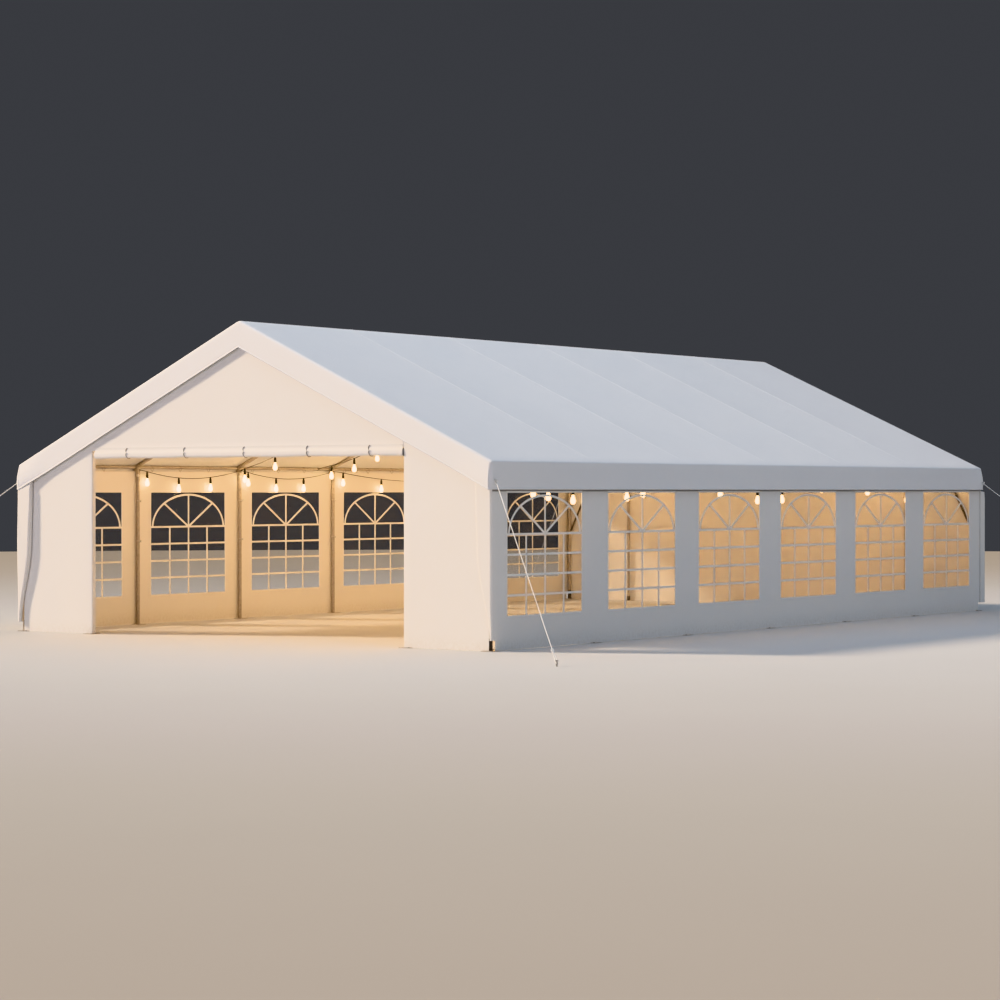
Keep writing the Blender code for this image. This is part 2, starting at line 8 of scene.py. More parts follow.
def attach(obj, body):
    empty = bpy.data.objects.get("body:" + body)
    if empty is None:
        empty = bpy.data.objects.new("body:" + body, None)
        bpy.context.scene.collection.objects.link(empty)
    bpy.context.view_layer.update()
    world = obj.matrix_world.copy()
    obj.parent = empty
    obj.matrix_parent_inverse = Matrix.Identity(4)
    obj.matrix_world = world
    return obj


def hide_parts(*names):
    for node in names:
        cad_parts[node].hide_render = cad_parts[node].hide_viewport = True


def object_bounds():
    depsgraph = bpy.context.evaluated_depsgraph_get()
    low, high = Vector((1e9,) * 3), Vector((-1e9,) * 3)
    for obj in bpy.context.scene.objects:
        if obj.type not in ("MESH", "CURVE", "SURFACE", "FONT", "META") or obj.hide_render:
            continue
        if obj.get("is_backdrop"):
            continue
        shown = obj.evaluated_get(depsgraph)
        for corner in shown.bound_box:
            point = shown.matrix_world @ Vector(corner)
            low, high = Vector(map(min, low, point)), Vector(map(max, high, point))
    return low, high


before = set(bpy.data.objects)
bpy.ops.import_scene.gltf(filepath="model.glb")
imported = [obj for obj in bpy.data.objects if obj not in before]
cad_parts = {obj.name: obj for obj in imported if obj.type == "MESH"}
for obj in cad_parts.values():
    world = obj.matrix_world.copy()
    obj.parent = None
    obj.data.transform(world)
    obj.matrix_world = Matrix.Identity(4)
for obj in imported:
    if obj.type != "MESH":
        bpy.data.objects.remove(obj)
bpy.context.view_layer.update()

hall = {
    "coverX": 3.6813, "coverY": 6.1313,  # outer faces of the roof cover's valances
    "eaveHeight": 2.09, "ridgeHeight": 3.77, "valanceFoot": 1.778,
    "wallX": 3.6413,  # outer faces of the long walls
    "postX": 3.61, "gablePostX": 2.466, "endY": 6.06, "bays": 6, "bayPitch": 2.02,
    "coverThickness": 0.006, "gap": 0.0003,
    "railX": 3.656, "railZ": 2.0736, "railRadius": 0.019, "rafterRadius": 0.021, "postRadius": 0.025,
}
slope = (hall["ridgeHeight"] - hall["eaveHeight"]) / hall["coverX"]
pitch = atan(slope)
rafterInset = hall["coverThickness"] + hall["gap"] + hall["rafterRadius"]  # roof's face to a rafter's middle
sides = (("left", -1), ("right", 1))
ends = (("front", -1), ("rear", 1))
xAxis, yAxis, zAxis = Vector((1, 0, 0)), Vector((0, 1, 0)), Vector((0, 0, 1))


def roofHeight(x, inset=0.0):
    return hall["ridgeHeight"] - inset / cos(pitch) - abs(x) * slope


def frameY(number):
    return (number - 1 - hall["bays"] / 2) * hall["bayPitch"]


frameRows = [frameY(number) for number in range(1, hall["bays"] + 2)]


class Wire:  # one socket of a node, which Python's arithmetic works on
    def __init__(self, graph, socket):
        self.graph = graph
        self.socket = socket

    def maths(self, operation, first, second=0.0):
        return self.graph.node("ShaderNodeMath", {"operation": operation}, {0: first, 1: second})

    def sine(self):
        return self.maths("SINE", self)

    def __add__(self, other):
        return self.maths("ADD", self, other)

    def __sub__(self, other):
        return self.maths("SUBTRACT", self, other)

    def __rsub__(self, other):
        return self.maths("SUBTRACT", other, self)

    def __mul__(self, other):
        return self.maths("MULTIPLY", self, other)

    __radd__ = __add__
    __rmul__ = __mul__


class Graph:  # one node tree, and the one method that adds any node to it
    def __init__(self, tree):
        self.tree = tree

    def node(self, kind, settings=None, values=None, output=0):
        made = self.tree.nodes.new(kind)
        for key, value in (settings or {}).items():
            setattr(made, key, value)
        for key, value in (values or {}).items():
            if isinstance(value, Wire):
                self.tree.links.new(value.socket, made.inputs[key])
            else:
                made.inputs[key].default_value = value
        return Wire(self, made.outputs[output])

    def place(self):
        return self.node("ShaderNodeTexCoord", output="Object")

    def cloth(self):  # the piece's own UV map, in metres along and across the cloth
        return self.node("ShaderNodeUVMap", {"uv_map": "cloth"})

    def axes(self, vector):
        split = self.node("ShaderNodeSeparateXYZ", {}, {"Vector": vector})
        return [Wire(self, socket) for socket in split.socket.node.outputs]

    def noise(self, coordinates, scale, detail=3.0, roughness=0.5):
        return self.node("ShaderNodeTexNoise", {}, {
            "Vector": coordinates, "Scale": scale, "Detail": detail, "Roughness": roughness})

    def blend(self, factor, *colors):
        first, second = (color if isinstance(color, Wire) else (*color, 1.0) for color in colors)
        return self.node("ShaderNodeMix", {"data_type": "RGBA"}, {0: factor, 6: first, 7: second}, output=2)

    def ranged(self, value, low, high, first=0.0, last=1.0, kind="LINEAR"):
        return self.node("ShaderNodeMapRange", {"interpolation_type": kind}, {
            "Value": value, "From Min": low, "From Max": high, "To Min": first, "To Max": last})

    def bump(self, strength, distance, height, **more):
        return self.node("ShaderNodeBump", {}, {
            "Strength": strength, "Distance": distance, "Height": height, **more})


class Finish(Graph):  # a material; fixed values go on the shader's own sockets
    def __init__(self, name, fixed):
        self.material = bpy.data.materials.new(name)
        self.material.use_nodes = True
        super().__init__(self.material.node_tree)
        self.shader = self.tree.nodes["Principled BSDF"]
        for key, value in fixed.items():
            self.shader.inputs[key].default_value = value

    def done(self, wires):  # links what varies over the surface to the shader
        for key, wire in wires.items():
            self.tree.links.new(wire.socket, self.shader.inputs[key])
        return self.material


def fabricFinish(name, look):
    graph = Finish(name, {"Roughness": look["roughness"], "Sheen Weight": 0.08, "Specular IOR Level": 0.35})
    place = graph.place()
    across, along, _ = graph.axes(graph.cloth())
    fine = graph.noise(place, 6.0, 5.0, 0.6)
    color = graph.blend(graph.noise(place, 0.55, 4.0) * 0.7 + fine * 0.3, look["color"], look["shade"])
    if "dust" in look:
        aside, _, height = graph.axes(place)
        # dust that rain splashes on the foot of the walls
        low = graph.ranged(height, look["dustHeight"], 0.0, kind="SMOOTHSTEP")
        speckle = graph.ranged(graph.noise(place, 28.0, 6.0, 0.7), 0.42, 0.68)
        color = graph.blend(low * speckle * 0.24 + low * 0.04, color, look["dust"])
        # painted shadow: a dark line on the long walls' outer faces, just under the valance's hem, standing
        # for the shade in the gap between hem and wall
        facing = graph.axes(graph.node("ShaderNodeNewGeometry", output="Normal"))[0]
        outside = aside.maths("GREATER_THAN", aside * facing, look["hemShadowFrom"])
        away = aside.maths("ABSOLUTE", height - look["hemShadowHeight"])
        hemShadow = graph.ranged(away, *look["hemShadowReach"], 0.0, look["hemShadowStrength"], "SMOOTHSTEP")
        color = graph.blend(hemShadow * outside, color, look["hemShadowColor"])
    warp, weft = ((axis * (tau / look["weave"])).sine() for axis in (across, along))
    weaveBump = graph.bump(0.25, 0.0006, warp * weft + fine * 1.5)
    return graph.done({
        "Base Color": color,
        "Roughness": graph.ranged(fine, 0.0, 1.0, look["roughness"] - 0.08, look["roughness"] + 0.08),
        "Normal": graph.bump(look["wrinkle"], 0.03, graph.noise(place, 1.6, 3.0, 0.45), Normal=weaveBump)})


def plasticFinish(name, color, shade, roughness, bumpScale=60.0):
    graph = Finish(name, {"Roughness": roughness})
    mottled = graph.noise(graph.place(), bumpScale, 4.0)
    return graph.done({
        "Base Color": graph.blend(mottled, color, shade), "Roughness": mottled * 0.15 + (roughness - 0.07),
        "Normal": graph.bump(0.2, 0.001, mottled)})


def metalFinish(name, color, shade, roughness, spangle, rust=0.0, metallic=0.85):
    graph = Finish(name, {"Metallic": metallic, "Roughness": roughness})
    place = graph.place()
    cells = graph.node("ShaderNodeTexVoronoi", {}, {"Vector": place, "Scale": spangle}, output="Color")
    grain = graph.node("ShaderNodeSeparateColor", {}, {"Color": cells})
    streak = graph.noise(place, 9.0, 5.0, 0.6)
    color = graph.blend(grain * 0.5 + streak * 0.5, color, shade)
    if rust:
        spots = graph.ranged(graph.noise(place, 24.0, 6.0, 0.7), 0.62, 0.74)
        color = graph.blend(spots * rust, color, (0.25, 0.13, 0.06))
    return graph.done({
        "Base Color": color, "Roughness": grain * 0.18 + streak * 0.12 + (roughness - 0.15),
        "Normal": graph.bump(0.15, 0.001, streak)})


def filmFinish(name, color, shade, alpha):  # clear soft film, a little smoky, with faint waves
    graph = Finish(name, {"IOR": 1.45, "Specular IOR Level": 0.4})
    place = graph.place()
    haze = graph.noise(place, 1.2, 4.0, 0.6)
    return graph.done({
        "Base Color": graph.blend(haze, color, shade), "Roughness": haze * 0.10 + 0.03,
        "Alpha": haze * 0.08 + alpha, "Normal": graph.bump(0.5, 0.02, graph.noise(place, 3.5, 2.0))})


def glowFinish(name, color, rim, strength):  # lit glass: brightest where the filament shows through
    graph = Finish(name, {
        "Roughness": 0.12, "Base Color": (1.0, 0.85, 0.6, 1.0), "Emission Strength": strength})
    facing = graph.node("ShaderNodeLayerWeight", {}, {"Blend": 0.35}, output="Facing")
    return graph.done({"Emission Color": graph.blend(facing, color, rim)})


def braidFinish(name, color, shade, plaitLength):
    graph = Finish(name, {"Roughness": 0.8, "Sheen Weight": 0.2})
    along, around, _ = graph.axes(graph.cloth())
    forward, about = along * (tau / plaitLength), around * (tau * 2)
    plait = along.maths("MAXIMUM", (forward + about).sine(), (forward - about).sine())
    return graph.done({
        "Base Color": graph.blend(plait * 0.5 + 0.5, shade, color), "Normal": graph.bump(0.6, 0.0015, plait)})


print("finishes")
roofFabric = fabricFinish("roofFabric", {
    "color": (0.86, 0.865, 0.88), "shade": (0.80, 0.81, 0.83), "roughness": 0.52, "weave": 0.004,
    "wrinkle": 0.12})
wallFabric = fabricFinish("wallFabric", {
    "color": (0.88, 0.865, 0.84), "shade": (0.82, 0.805, 0.78), "roughness": 0.58, "weave": 0.004,
    "wrinkle": 0.16, "dust": (0.52, 0.46, 0.36), "dustHeight": 0.20,
    # the last five values paint a shadow line on the long walls just under the valance's hem
    "hemShadowColor": (0.13, 0.12, 0.10), "hemShadowFrom": 3.3, "hemShadowHeight": 1.767, "hemShadowReach": (0.017, 0.005),
    "hemShadowStrength": 0.75})
barFabric = plasticFinish("barFabric", (0.92, 0.905, 0.875), (0.85, 0.835, 0.80), 0.45)
# a warm brown-grey: partly the steel's own colour, partly painted warm lamplight
steelTube = metalFinish("steelTube", (0.56, 0.51, 0.46), (0.40, 0.36, 0.32), 0.40, 55.0, metallic=0.5)
footSteel = metalFinish("footSteel", (0.13, 0.115, 0.10), (0.08, 0.07, 0.06), 0.38, 55.0, metallic=0.5)
stakeSteel = metalFinish("stakeSteel", (0.46, 0.45, 0.43), (0.30, 0.29, 0.28), 0.55, 80.0, rust=0.5)
eyeletMetal = metalFinish("eyeletMetal", (0.72, 0.70, 0.66), (0.55, 0.53, 0.50), 0.30, 200.0)
clearFilm = filmFinish("clearFilm", (0.045, 0.045, 0.043), (0.10, 0.098, 0.092), 0.10)
cableRubber = plasticFinish("cableRubber", (0.045, 0.035, 0.028), (0.02, 0.016, 0.013), 0.5, 90.0)
socketRubber = plasticFinish("socketRubber", (0.014, 0.011, 0.010), (0.007, 0.006, 0.005), 0.42, 120.0)
ballPlastic = plasticFinish("ballPlastic", (0.88, 0.87, 0.84), (0.78, 0.77, 0.74), 0.35, 80.0)
litGlass = glowFinish("litGlass", (1.0, 0.74, 0.36), (1.0, 0.46, 0.13), 16.0)
# grey-brown; on the curtain ties this colour is painted shade
tieCord = braidFinish("tieCord", (0.34, 0.31, 0.28), (0.20, 0.18, 0.16), 0.006)
ropeBraid = braidFinish("ropeBraid", (0.94, 0.93, 0.91), (0.74, 0.72, 0.69), 0.014)
cordBraid = braidFinish("cordBraid", (0.86, 0.85, 0.82), (0.60, 0.58, 0.55), 0.008)


def addObject(name, data, finish=None):
    obj = bpy.data.objects.new(name, data)
    bpy.context.scene.collection.objects.link(obj)
    if finish:
        data.materials.append(finish)
    return obj


def smoothed(mesh, sharpAngle):
    mesh.shade_smooth()
    mesh.set_sharp_from_angle(angle=radians(sharpAngle))
    return mesh


def meshFrom(bm, name, sharpAngle=40.0):
    mesh = bpy.data.meshes.new(name)
    bm.to_mesh(mesh)
    bm.free()
    return smoothed(mesh, sharpAngle)


def settled(obj, sharpAngle):  # the object with its modifiers turned into plain mesh
    bpy.context.view_layer.update()
    shaped = obj.evaluated_get(bpy.context.evaluated_depsgraph_get())
    mesh = smoothed(bpy.data.meshes.new_from_object(shaped), sharpAngle)
    name = obj.name
    bpy.data.objects.remove(obj)
    return addObject(name, mesh)


def mount(obj, slotName, *nodes):  # rides on the frame, and hides the CAD parts it replaces
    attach(obj, "root")
    if nodes:
        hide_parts(*nodes)
    return obj


def addSolid(bm, name, finish, slotName, *nodes, sharpAngle=40.0):
    facesOut(bm)
    return mount(addObject(name, meshFrom(bm, name, sharpAngle), finish), slotName, *nodes)


def addSheet(bm, name, finish, thickness, slotName, *nodes, offset=-1.0, sharpAngle=40.0, bevel=0.0):
    obj = addObject(name, meshFrom(bm, name, sharpAngle), finish)
    if bevel:
        rounding = obj.modifiers.new("rounding", "BEVEL")
        rounding.width = bevel
        rounding.segments = 4
        rounding.limit_method = "ANGLE"
        rounding.angle_limit = radians(50)
    solid = obj.modifiers.new("thickness", "SOLIDIFY")
    solid.thickness = thickness
    solid.offset = offset
    return mount(settled(obj, sharpAngle), slotName, *nodes)


def clothLayer(bm):
    return bm.loops.layers.uv.get("cloth") or bm.loops.layers.uv.new("cloth")


def addGrid(bm, rows, uvRows, skip=None):  # rows of points, joined into quads
    layer = clothLayer(bm)
    verts = [[bm.verts.new(point) for point in row] for row in rows]
    for i in range(len(rows) - 1):
        for j in range(len(rows[0]) - 1):
            if skip and skip(i, j):
                continue
            corners = ((i, j), (i + 1, j), (i + 1, j + 1), (i, j + 1))
            face = bm.faces.new([verts[a][b] for a, b in corners])
            for loop, (a, b) in zip(face.loops, corners):
                loop[layer].uv = uvRows[a][b]
    bm.verts.index_update()


def weld(bm):
    bmesh.ops.remove_doubles(bm, verts=bm.verts, dist=0.00005)
    bmesh.ops.delete(bm, geom=[vert for vert in bm.verts if not vert.link_faces], context="VERTS")


def facesOut(bm):
    weld(bm)
    bmesh.ops.recalc_face_normals(bm, faces=bm.faces)


def faceToward(bm, direction):
    bm.normal_update()
    if sum(face.normal.dot(direction) * face.calc_area() for face in bm.faces) < 0:
        bmesh.ops.reverse_faces(bm, faces=bm.faces)


def steps(low, high, size):  # evenly spaced values from low to high, about size apart
    count = max(1, round((high - low) / size))
    return [low + (high - low) * k / count for k in range(count + 1)]


def steppedThrough(marks, size):
    values = [value for low, high in zip(marks, marks[1:]) for value in steps(low, high, size)[:-1]]
    return values + [marks[-1]]


def pathLength(points):
    return sum(dist(a, b) for a, b in zip(points, points[1:]))


def ring(centre, first, second, radius, count):  # points on a circle, from first towards second
    return [centre + first * (radius * cos(tau * k / count)) + second * (radius * sin(tau * k / count))
            for k in range(count)]


def wander(a, b, seed, size):  # smooth noise from -1 to 1
    return noise.noise(Vector((a / size, b / size, seed * 7.3)))


def smooth(value):
    value = min(1.0, max(0.0, value))
    return value * value * (3 - 2 * value)


def tubeMesh(bm, points, radius, around=8, closed=False):
    # a round tube through points, with UVs in metres along and turns around
    layer = clothLayer(bm)
    points = [Vector(point) for point in points]
    count = len(points)
    along = [pathLength(points[:k + 1]) for k in range(count)]
    normal = None
    rings = []
    for k, point in enumerate(points):
        before = points[(k - 1) % count] if closed or k else point
        after = points[(k + 1) % count] if closed or k < count - 1 else point
        run = (after - before).normalized()
        normal = normal or run.orthogonal().normalized()
        normal = (normal - run * normal.dot(run)).normalized()
        size = radius(k / (count - 1)) if callable(radius) else radius
        rings.append([bm.verts.new(spot) for spot in ring(point, normal, run.cross(normal), size, around)])
    pairs = list(zip(rings, rings[1:], range(count - 1)))
    if closed:
        turn = min(range(around), key=lambda s: sum(
            (rings[-1][a].co - rings[0][(a + s) % around].co).length for a in range(around)))
        pairs.append((rings[-1], rings[0][turn:] + rings[0][:turn], count - 1))
    for first, second, k in pairs:
        ahead = along[min(k + 1, count - 1)]
        for a in range(around):
            b = (a + 1) % around
            face = bm.faces.new((first[a], first[b], second[b], second[a]))
            corners = ((along[k], a), (along[k], a + 1), (ahead, a + 1), (ahead, a))
            for loop, (far, turned) in zip(face.loops, corners):
                loop[layer].uv = (far, turned / around)
    if not closed:
        bm.faces.new(rings[0][::-1])
        bm.faces.new(rings[-1])


def lathe(bm, profile, around):  # (radius, height) pairs, turned about Z, with closed ends
    rings = [[bm.verts.new(spot) for spot in ring(zAxis * height, xAxis, yAxis, radius, around)]
             for radius, height in profile]
    for first, second in zip(rings, rings[1:]):
        for a in range(around):
            b = (a + 1) % around
            bm.faces.new((first[a], first[b], second[b], second[a]))
    bm.faces.new(rings[0][::-1])
    bm.faces.new(rings[-1])


def curveOf(name, paths):
    curve = bpy.data.curves.new(name, "CURVE")
    curve.dimensions = "3D"
    for path in paths:
        spline = curve.splines.new("POLY")
        spline.points.add(len(path) - 1)
        for point, place in zip(spline.points, path):
            point.co = (*Vector(place).to_3d(), 1)
    return curve


# camera, at the photograph's place
camera = {
    "place": (20.6034, -29.4107, 1.7634), "azimuth": 0.6254, "down": 0.0035,
    "optics": {"lens": 94.77, "sensor_width": 36.0, "clip_start": 0.5, "clip_end": 2000.0}}
eye = bpy.data.cameras.new("camera")
for key, value in camera["optics"].items():
    setattr(eye, key, value)
eyeObject = addObject("camera", eye)
eyeObject.location = camera["place"]
eyeObject.rotation_euler = (pi / 2 - camera["down"], 0, camera["azimuth"])
bpy.context.scene.camera = eyeObject
print("camera")

# strings of lights: cables on the CAD's own routes, which are repeated here
lights = {
    "radius": 0.0045, "tieX": 3.5802, "tieZ": 2.0378, "crossTieZ": 2.0471, "rounding": 0.1,
    "posts": {"left": (2, 3, 4, 6, 7), "right": (1, 3, 5, 7)},
    "sags": {"left": (0.12, 0.12, 0.15, 0.12), "right": (0.27, 0.28, 0.28)},
    "lamps": {  # in bays from the front
        "left": (1.071, 1.374, 1.686, 2.07, 2.362, 2.658, 3.097, 3.538, 3.95, 4.419, 4.86, 5.178,
                 5.485, 5.792),
        "right": (0.12, 0.426, 0.574, 0.82, 1.381, 1.554, 1.86, 2.437, 2.893, 3.204, 3.726, 4.366,
                  4.94, 5.85)},
    # by frame: its ends' distance from the frame, its sag, first lamp, lamp pitch and lamps on each side
    "cross": {3: (0.0, 0.125, 0.062, 0.55, 7), 4: (-0.30, 0.14, 0.213, 0.37, 9),
              5: (0.0, 0.125, 0.062, 0.55, 7)},
    "railTie": (3.6322, 2.0736), "ridgeTieZ": 3.6807,
    "steps": (0, 0.02, 0.05, 0.1, 0.17, 0.25, 0.33, 0.41, 0.5, 0.59, 0.67, 0.75, 0.83, 0.9, 0.95, 0.98),
    "capAt": (-0.002, 0.004, 0.016, 0.019), "capRadii": (0.0055, 0.0075),  # the caps at a cable's ends
}


def swagPoint(start, end, share, sag):
    place = start.lerp(end, share)
    place.z -= sag * (hypot(4 * share * (1 - share), lights["rounding"]) - lights["rounding"])
    return place


def addCable(name, node, ties, sags):
    points = [swagPoint(start, end, share, sag) for start, end, sag in zip(ties, ties[1:], sags)
              for share in lights["steps"]] + [ties[-1]]
    cable = addObject(name, curveOf(name, [points]), cableRubber)
    cable.data.bevel_depth = lights["radius"]
    cable.data.bevel_resolution = 3
    cable.data.use_fill_caps = True
    bm = bmesh.new()
    thin, thick = lights["capRadii"]
    for point, inward in ((points[0], points[1]), (points[-1], points[-2])):
        run = (inward - point).normalized()
        tubeMesh(bm, [point + run * away for away in lights["capAt"]],
                 lambda share: thin if share in (0, 1) else thick, 12)
    caps = addSolid(bm, name + "EndCaps", socketRubber, "light_cable")
    mount(cable, "light_cable", node)


lampPlaces, tiePlaces = [], []
for sideName, side in sides:
    ties = [Vector((side * lights["tieX"], frameY(number), lights["tieZ"]))
            for number in lights["posts"][sideName]]
    sags = lights["sags"][sideName]
    addCable(f"eaveCable_{sideName}", f"eave_lights_{sideName}", ties, sags)
    tiePlaces += ties
    for bays in lights["lamps"][sideName]:
        y = bays * hall["bayPitch"] - hall["endY"]
        lampPlaces += [swagPoint(start, end, (y - start.y) / (end.y - start.y), sag)
                       for start, end, sag in zip(ties, ties[1:], sags) if start.y < y < end.y]
cableInset = hall["coverThickness"] + 2 * hall["gap"] + 2 * hall["rafterRadius"] + lights["radius"]
for number, (shift, sag, lampStart, lampPitch, lampCount) in lights["cross"].items():
    y = frameY(number)
    outer = Vector((lights["tieX"], y, lights["crossTieZ"]))
    if shift:
        outer = Vector((lights["railTie"][0], y + shift, lights["railTie"][1]))
    middle = Vector((outer.x / 2, y, roofHeight(outer.x / 2, cableInset)))
    top = Vector((0, y, lights["ridgeTieZ"]))
    ties = [Vector((-tie.x, tie.y, tie.z)) for tie in (outer, middle)] + [top, middle, outer]
    addCable(f"crossCable_{number}", f"cross_lights_{number}", ties, [sag] * 4)
    tiePlaces += ties
    for k in range(lampCount):
        x = outer.x - lampStart - k * lampPitch
        start, end = (outer, middle) if x > middle.x else (middle, top)
        place = swagPoint(start, end, (start.x - x) / (start.x - end.x), sag)
        lampPlaces += [place, Vector((-place.x, place.y, place.z))]
print("cables")

# floor and soft studio light
studio = {
    "floor": 0.60, "floorRadius": 43.0, "world": (0.64, 0.66, 0.72), "worldStrength": 0.125,
    "sun": {"color": (1.0, 0.78, 0.56), "energy": 4.3, "angle": radians(8.0)},
    "sunFrom": (-0.785, -0.366, 0.5),
    "areas": {  # place, turn, color, power, width, height and spread
        "softbox": ((4, 0, 15), (0, 0, 0), (0.72, 0.84, 1.0), 2680.0, 30.0, 30.0, 180.0),
        "fill": ((19, -1, 0.9), (pi / 2, 0, pi / 2), (0.86, 0.90, 1.0), 66.0, 18.0, 1.4, 75.0),
        "front": ((-3, -28, 5), (pi / 2, 0, 0), (0.87, 0.84, 1.0), 288.0, 18.0, 7.0, 80.0)},
    "glow": {"color": (1.0, 0.56, 0.22), "energy": 25.0, "shadow_soft_size": 0.16},  # stands for the lamps
    "glowPlaces": [(x, y, 2.25) for y in (-4.8, -2.4, 0.0, 2.4, 4.8) for x in (-1.9, 1.9)],
}


def addLight(name, kind, place, turn, settings):
    light = bpy.data.lights.new(name, kind)
    for key, value in settings.items():
        setattr(light, key, value)
    obj = addObject(name, light)
    obj.location = place
    obj.rotation_euler = turn
    obj.visible_camera = False


bm = bmesh.new()
bmesh.ops.create_circle(bm, cap_ends=True, radius=studio["floorRadius"], segments=180)
faceToward(bm, zAxis)
graph = Finish("floorFinish", {"Roughness": 0.85})
floorFinish = graph.done({"Base Color": graph.blend(
    graph.noise(graph.place(), 0.4), (studio["floor"],) * 3, (studio["floor"] * 0.97,) * 3)})
addObject("floor", meshFrom(bm, "floor"), floorFinish)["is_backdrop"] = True
world = bpy.data.worlds.new("studio")
world.use_nodes = True
background = world.node_tree.nodes["Background"]
background.inputs["Color"].default_value = (*studio["world"], 1.0)
background.inputs["Strength"].default_value = studio["worldStrength"]
bpy.context.scene.world = world
sunTurn = Vector(studio["sunFrom"]).to_track_quat("Z", "Y").to_euler()
addLight("sun", "SUN", (-20, -20, 20), sunTurn, studio["sun"])
for name, (place, turn, color, power, width, height, spread) in studio["areas"].items():
    addLight(name, "AREA", place, turn, {
        "color": color, "energy": power, "shape": "RECTANGLE", "size": width, "size_y": height,
        "spread": radians(spread)})
for place in studio["glowPlaces"]:
    addLight("glow", "POINT", place, (0, 0, 0), studio["glow"])
bpy.context.scene.view_settings.view_transform = "Khronos PBR Neutral"  # keeps the photograph's colours
print("studio")

# roof cover: one sheet over both slopes, rounded over the rails, folded down all round
roof = {
    "thickness": 0.0015, "edge": 0.04, "edgeSteps": 6, "ridgeRadius": 0.10, "gableFootSlope": 0.4589,
    "railReach": 0.0253, "slopeSteps": 30, "arcSteps": 6, "rowSize": 0.094, "sag": 0.016, "dent": 0.0035,
    "ripple": 0.005, "gableDrop": 0.312,
    # a rolled hem: height above the sheet's lower edge, and how far it stands out
    "hem": ((0.0, 0.0), (0.002, 0.0042), (0.007, 0.0065), (0.013, 0.0048), (0.017, 0.0004), (0.021, -0.001),
            (0.027, 0.0)),
    "valanceSteps": 7, "bulgeReach": 0.5, "bulgeTurn": 0.72,
    # by side and end: how far the valances stand out at a corner, along the side and along the gable
    "bulges": {(-1, -1): (0.030, 0.030), (1, -1): (0.008, 0.028), (1, 1): (0.030, 0.030),
               (-1, 1): (0.020, 0.020)},
}
crownZ = hall["ridgeHeight"] - roof["ridgeRadius"] / cos(pitch)  # the middle of the ridge's rounding


def valanceRows(drop):  # heights above the lower edge, with the hem's bulge at each
    last, count = roof["hem"][-1][0], roof["valanceSteps"]
    return list(roof["hem"]) + [(last + (drop - last) * k / count, 0.0) for k in range(1, count + 1)]


def roofSection():
    # the outer face, from right valance to left: place, way out, bulge, share of the slope, share of the hang
    def arc(x, z, radius, angles):
        return [((x + radius * cos(a), z + radius * sin(a)), (cos(a), sin(a)), 0.0, 0.0, 0.0) for a in angles]

    drop = hall["railZ"] - hall["valanceFoot"]
    half = [((hall["coverX"], hall["valanceFoot"] + h), (1.0, 0.0), bulge, 0.0, 1 - h / drop)
            for h, bulge in valanceRows(drop)[:-1]]
    shares = steps(0.0, 1.0, 1 / roof["arcSteps"])
    half += arc(hall["railX"], hall["railZ"], roof["railReach"],
                [(pi / 2 - pitch) * share for share in shares])
    crown = arc(0.0, crownZ, roof["ridgeRadius"], [pi / 2 - pitch * (1 - share) for share in shares])
    foot, top = Vector(half[-1][0]), Vector(crown[0][0])
    for share in steps(0.0, 1.0, 1 / roof["slopeSteps"])[1:]:
        half.append((tuple(foot.lerp(top, share)), crown[0][1], 0.0, share, 0.0))
    half += crown[1:]
    return half + [((-p[0], p[1]), (-n[0], n[1]), *rest) for p, n, *rest in half[-2::-1]]


def cornerBulge(side, end, distance, hang, turned):
    onSide, onGable = roof["bulges"][side, end]
    near = smooth(1 - distance / roof["bulgeReach"])
    return (onSide + (onGable - onSide) * turned) * near * sin(pi * roof["bulgeTurn"] * hang)


def roofOffset(side, y, bulge, share, hang):
    # sags between the rafters, and ripples where the valance hangs free
    lift = bulge
    if 0 < share < 1 and abs(y) < hall["endY"]:
        across = abs(sin(pi * (((y + hall["endY"]) / hall["bayPitch"]) % 1.0))) ** 0.85
        lift -= roof["sag"] * across * sin(pi * share) ** 0.6
        lift += roof["dent"] * wander(y, share * 4 * side, 3, 0.7) * across
    if hang:
        fade = sin(pi * min(1, max(0, (y + hall["coverY"]) / (2 * hall["coverY"])))) ** 0.3
        lift += roof["ripple"] * hang * fade * (wander(y, side, 1, 0.55) + 0.5 * wander(y, side, 2, 0.21))
        lift += cornerBulge(side, 1 if y > 0 else -1, reachY - abs(y), hang, 0.0)
    return lift


section = roofSection()
edge = roof["edge"]
reachY = hall["coverY"] - edge
lines = [(-reachY, -1, turn) for turn in steps(pi / 2, 0.0, -pi / 2 / roof["edgeSteps"])[:-1]]
lines += [(y, 0, 0.0) for y in steppedThrough([-reachY, *frameRows, reachY], roof["rowSize"])]
lines += [(reachY, 1, turn) for turn in steps(0.0, pi / 2, pi / 2 / roof["edgeSteps"])[1:]]
bm = bmesh.new()
rows, uvRows = [], []
for y, end, turn in lines:
    row, uvRow, travelled = [], [], 0.0
    for k, ((x, z), (nx, nz), bulge, share, hang) in enumerate(section):
        if k:
            travelled += dist((x, z), section[k - 1][0])
        side = 1 if k * 2 < len(section) else -1
        lift = roofOffset(side, y, bulge, share, hang)
        if end:
            lift = bulge + cornerBulge(side, end, 0.0, hang, turn / (pi / 2))
        out = Vector((nx * cos(turn), end * sin(turn), nz * cos(turn)))
        row.append(Vector((x - nx * edge, y, z - nz * edge)) + out * (edge + lift))
        uvRow.append((y + end * edge * turn, travelled))
    rows.append(row)
    uvRows.append(uvRow)
addGrid(bm, rows, uvRows)
hangFrom = len(roof["hem"]) + roof["valanceSteps"] - 2  # the section's first point over the rail
overRails = list(enumerate(section))[hangFrom:len(section) - hangFrom]
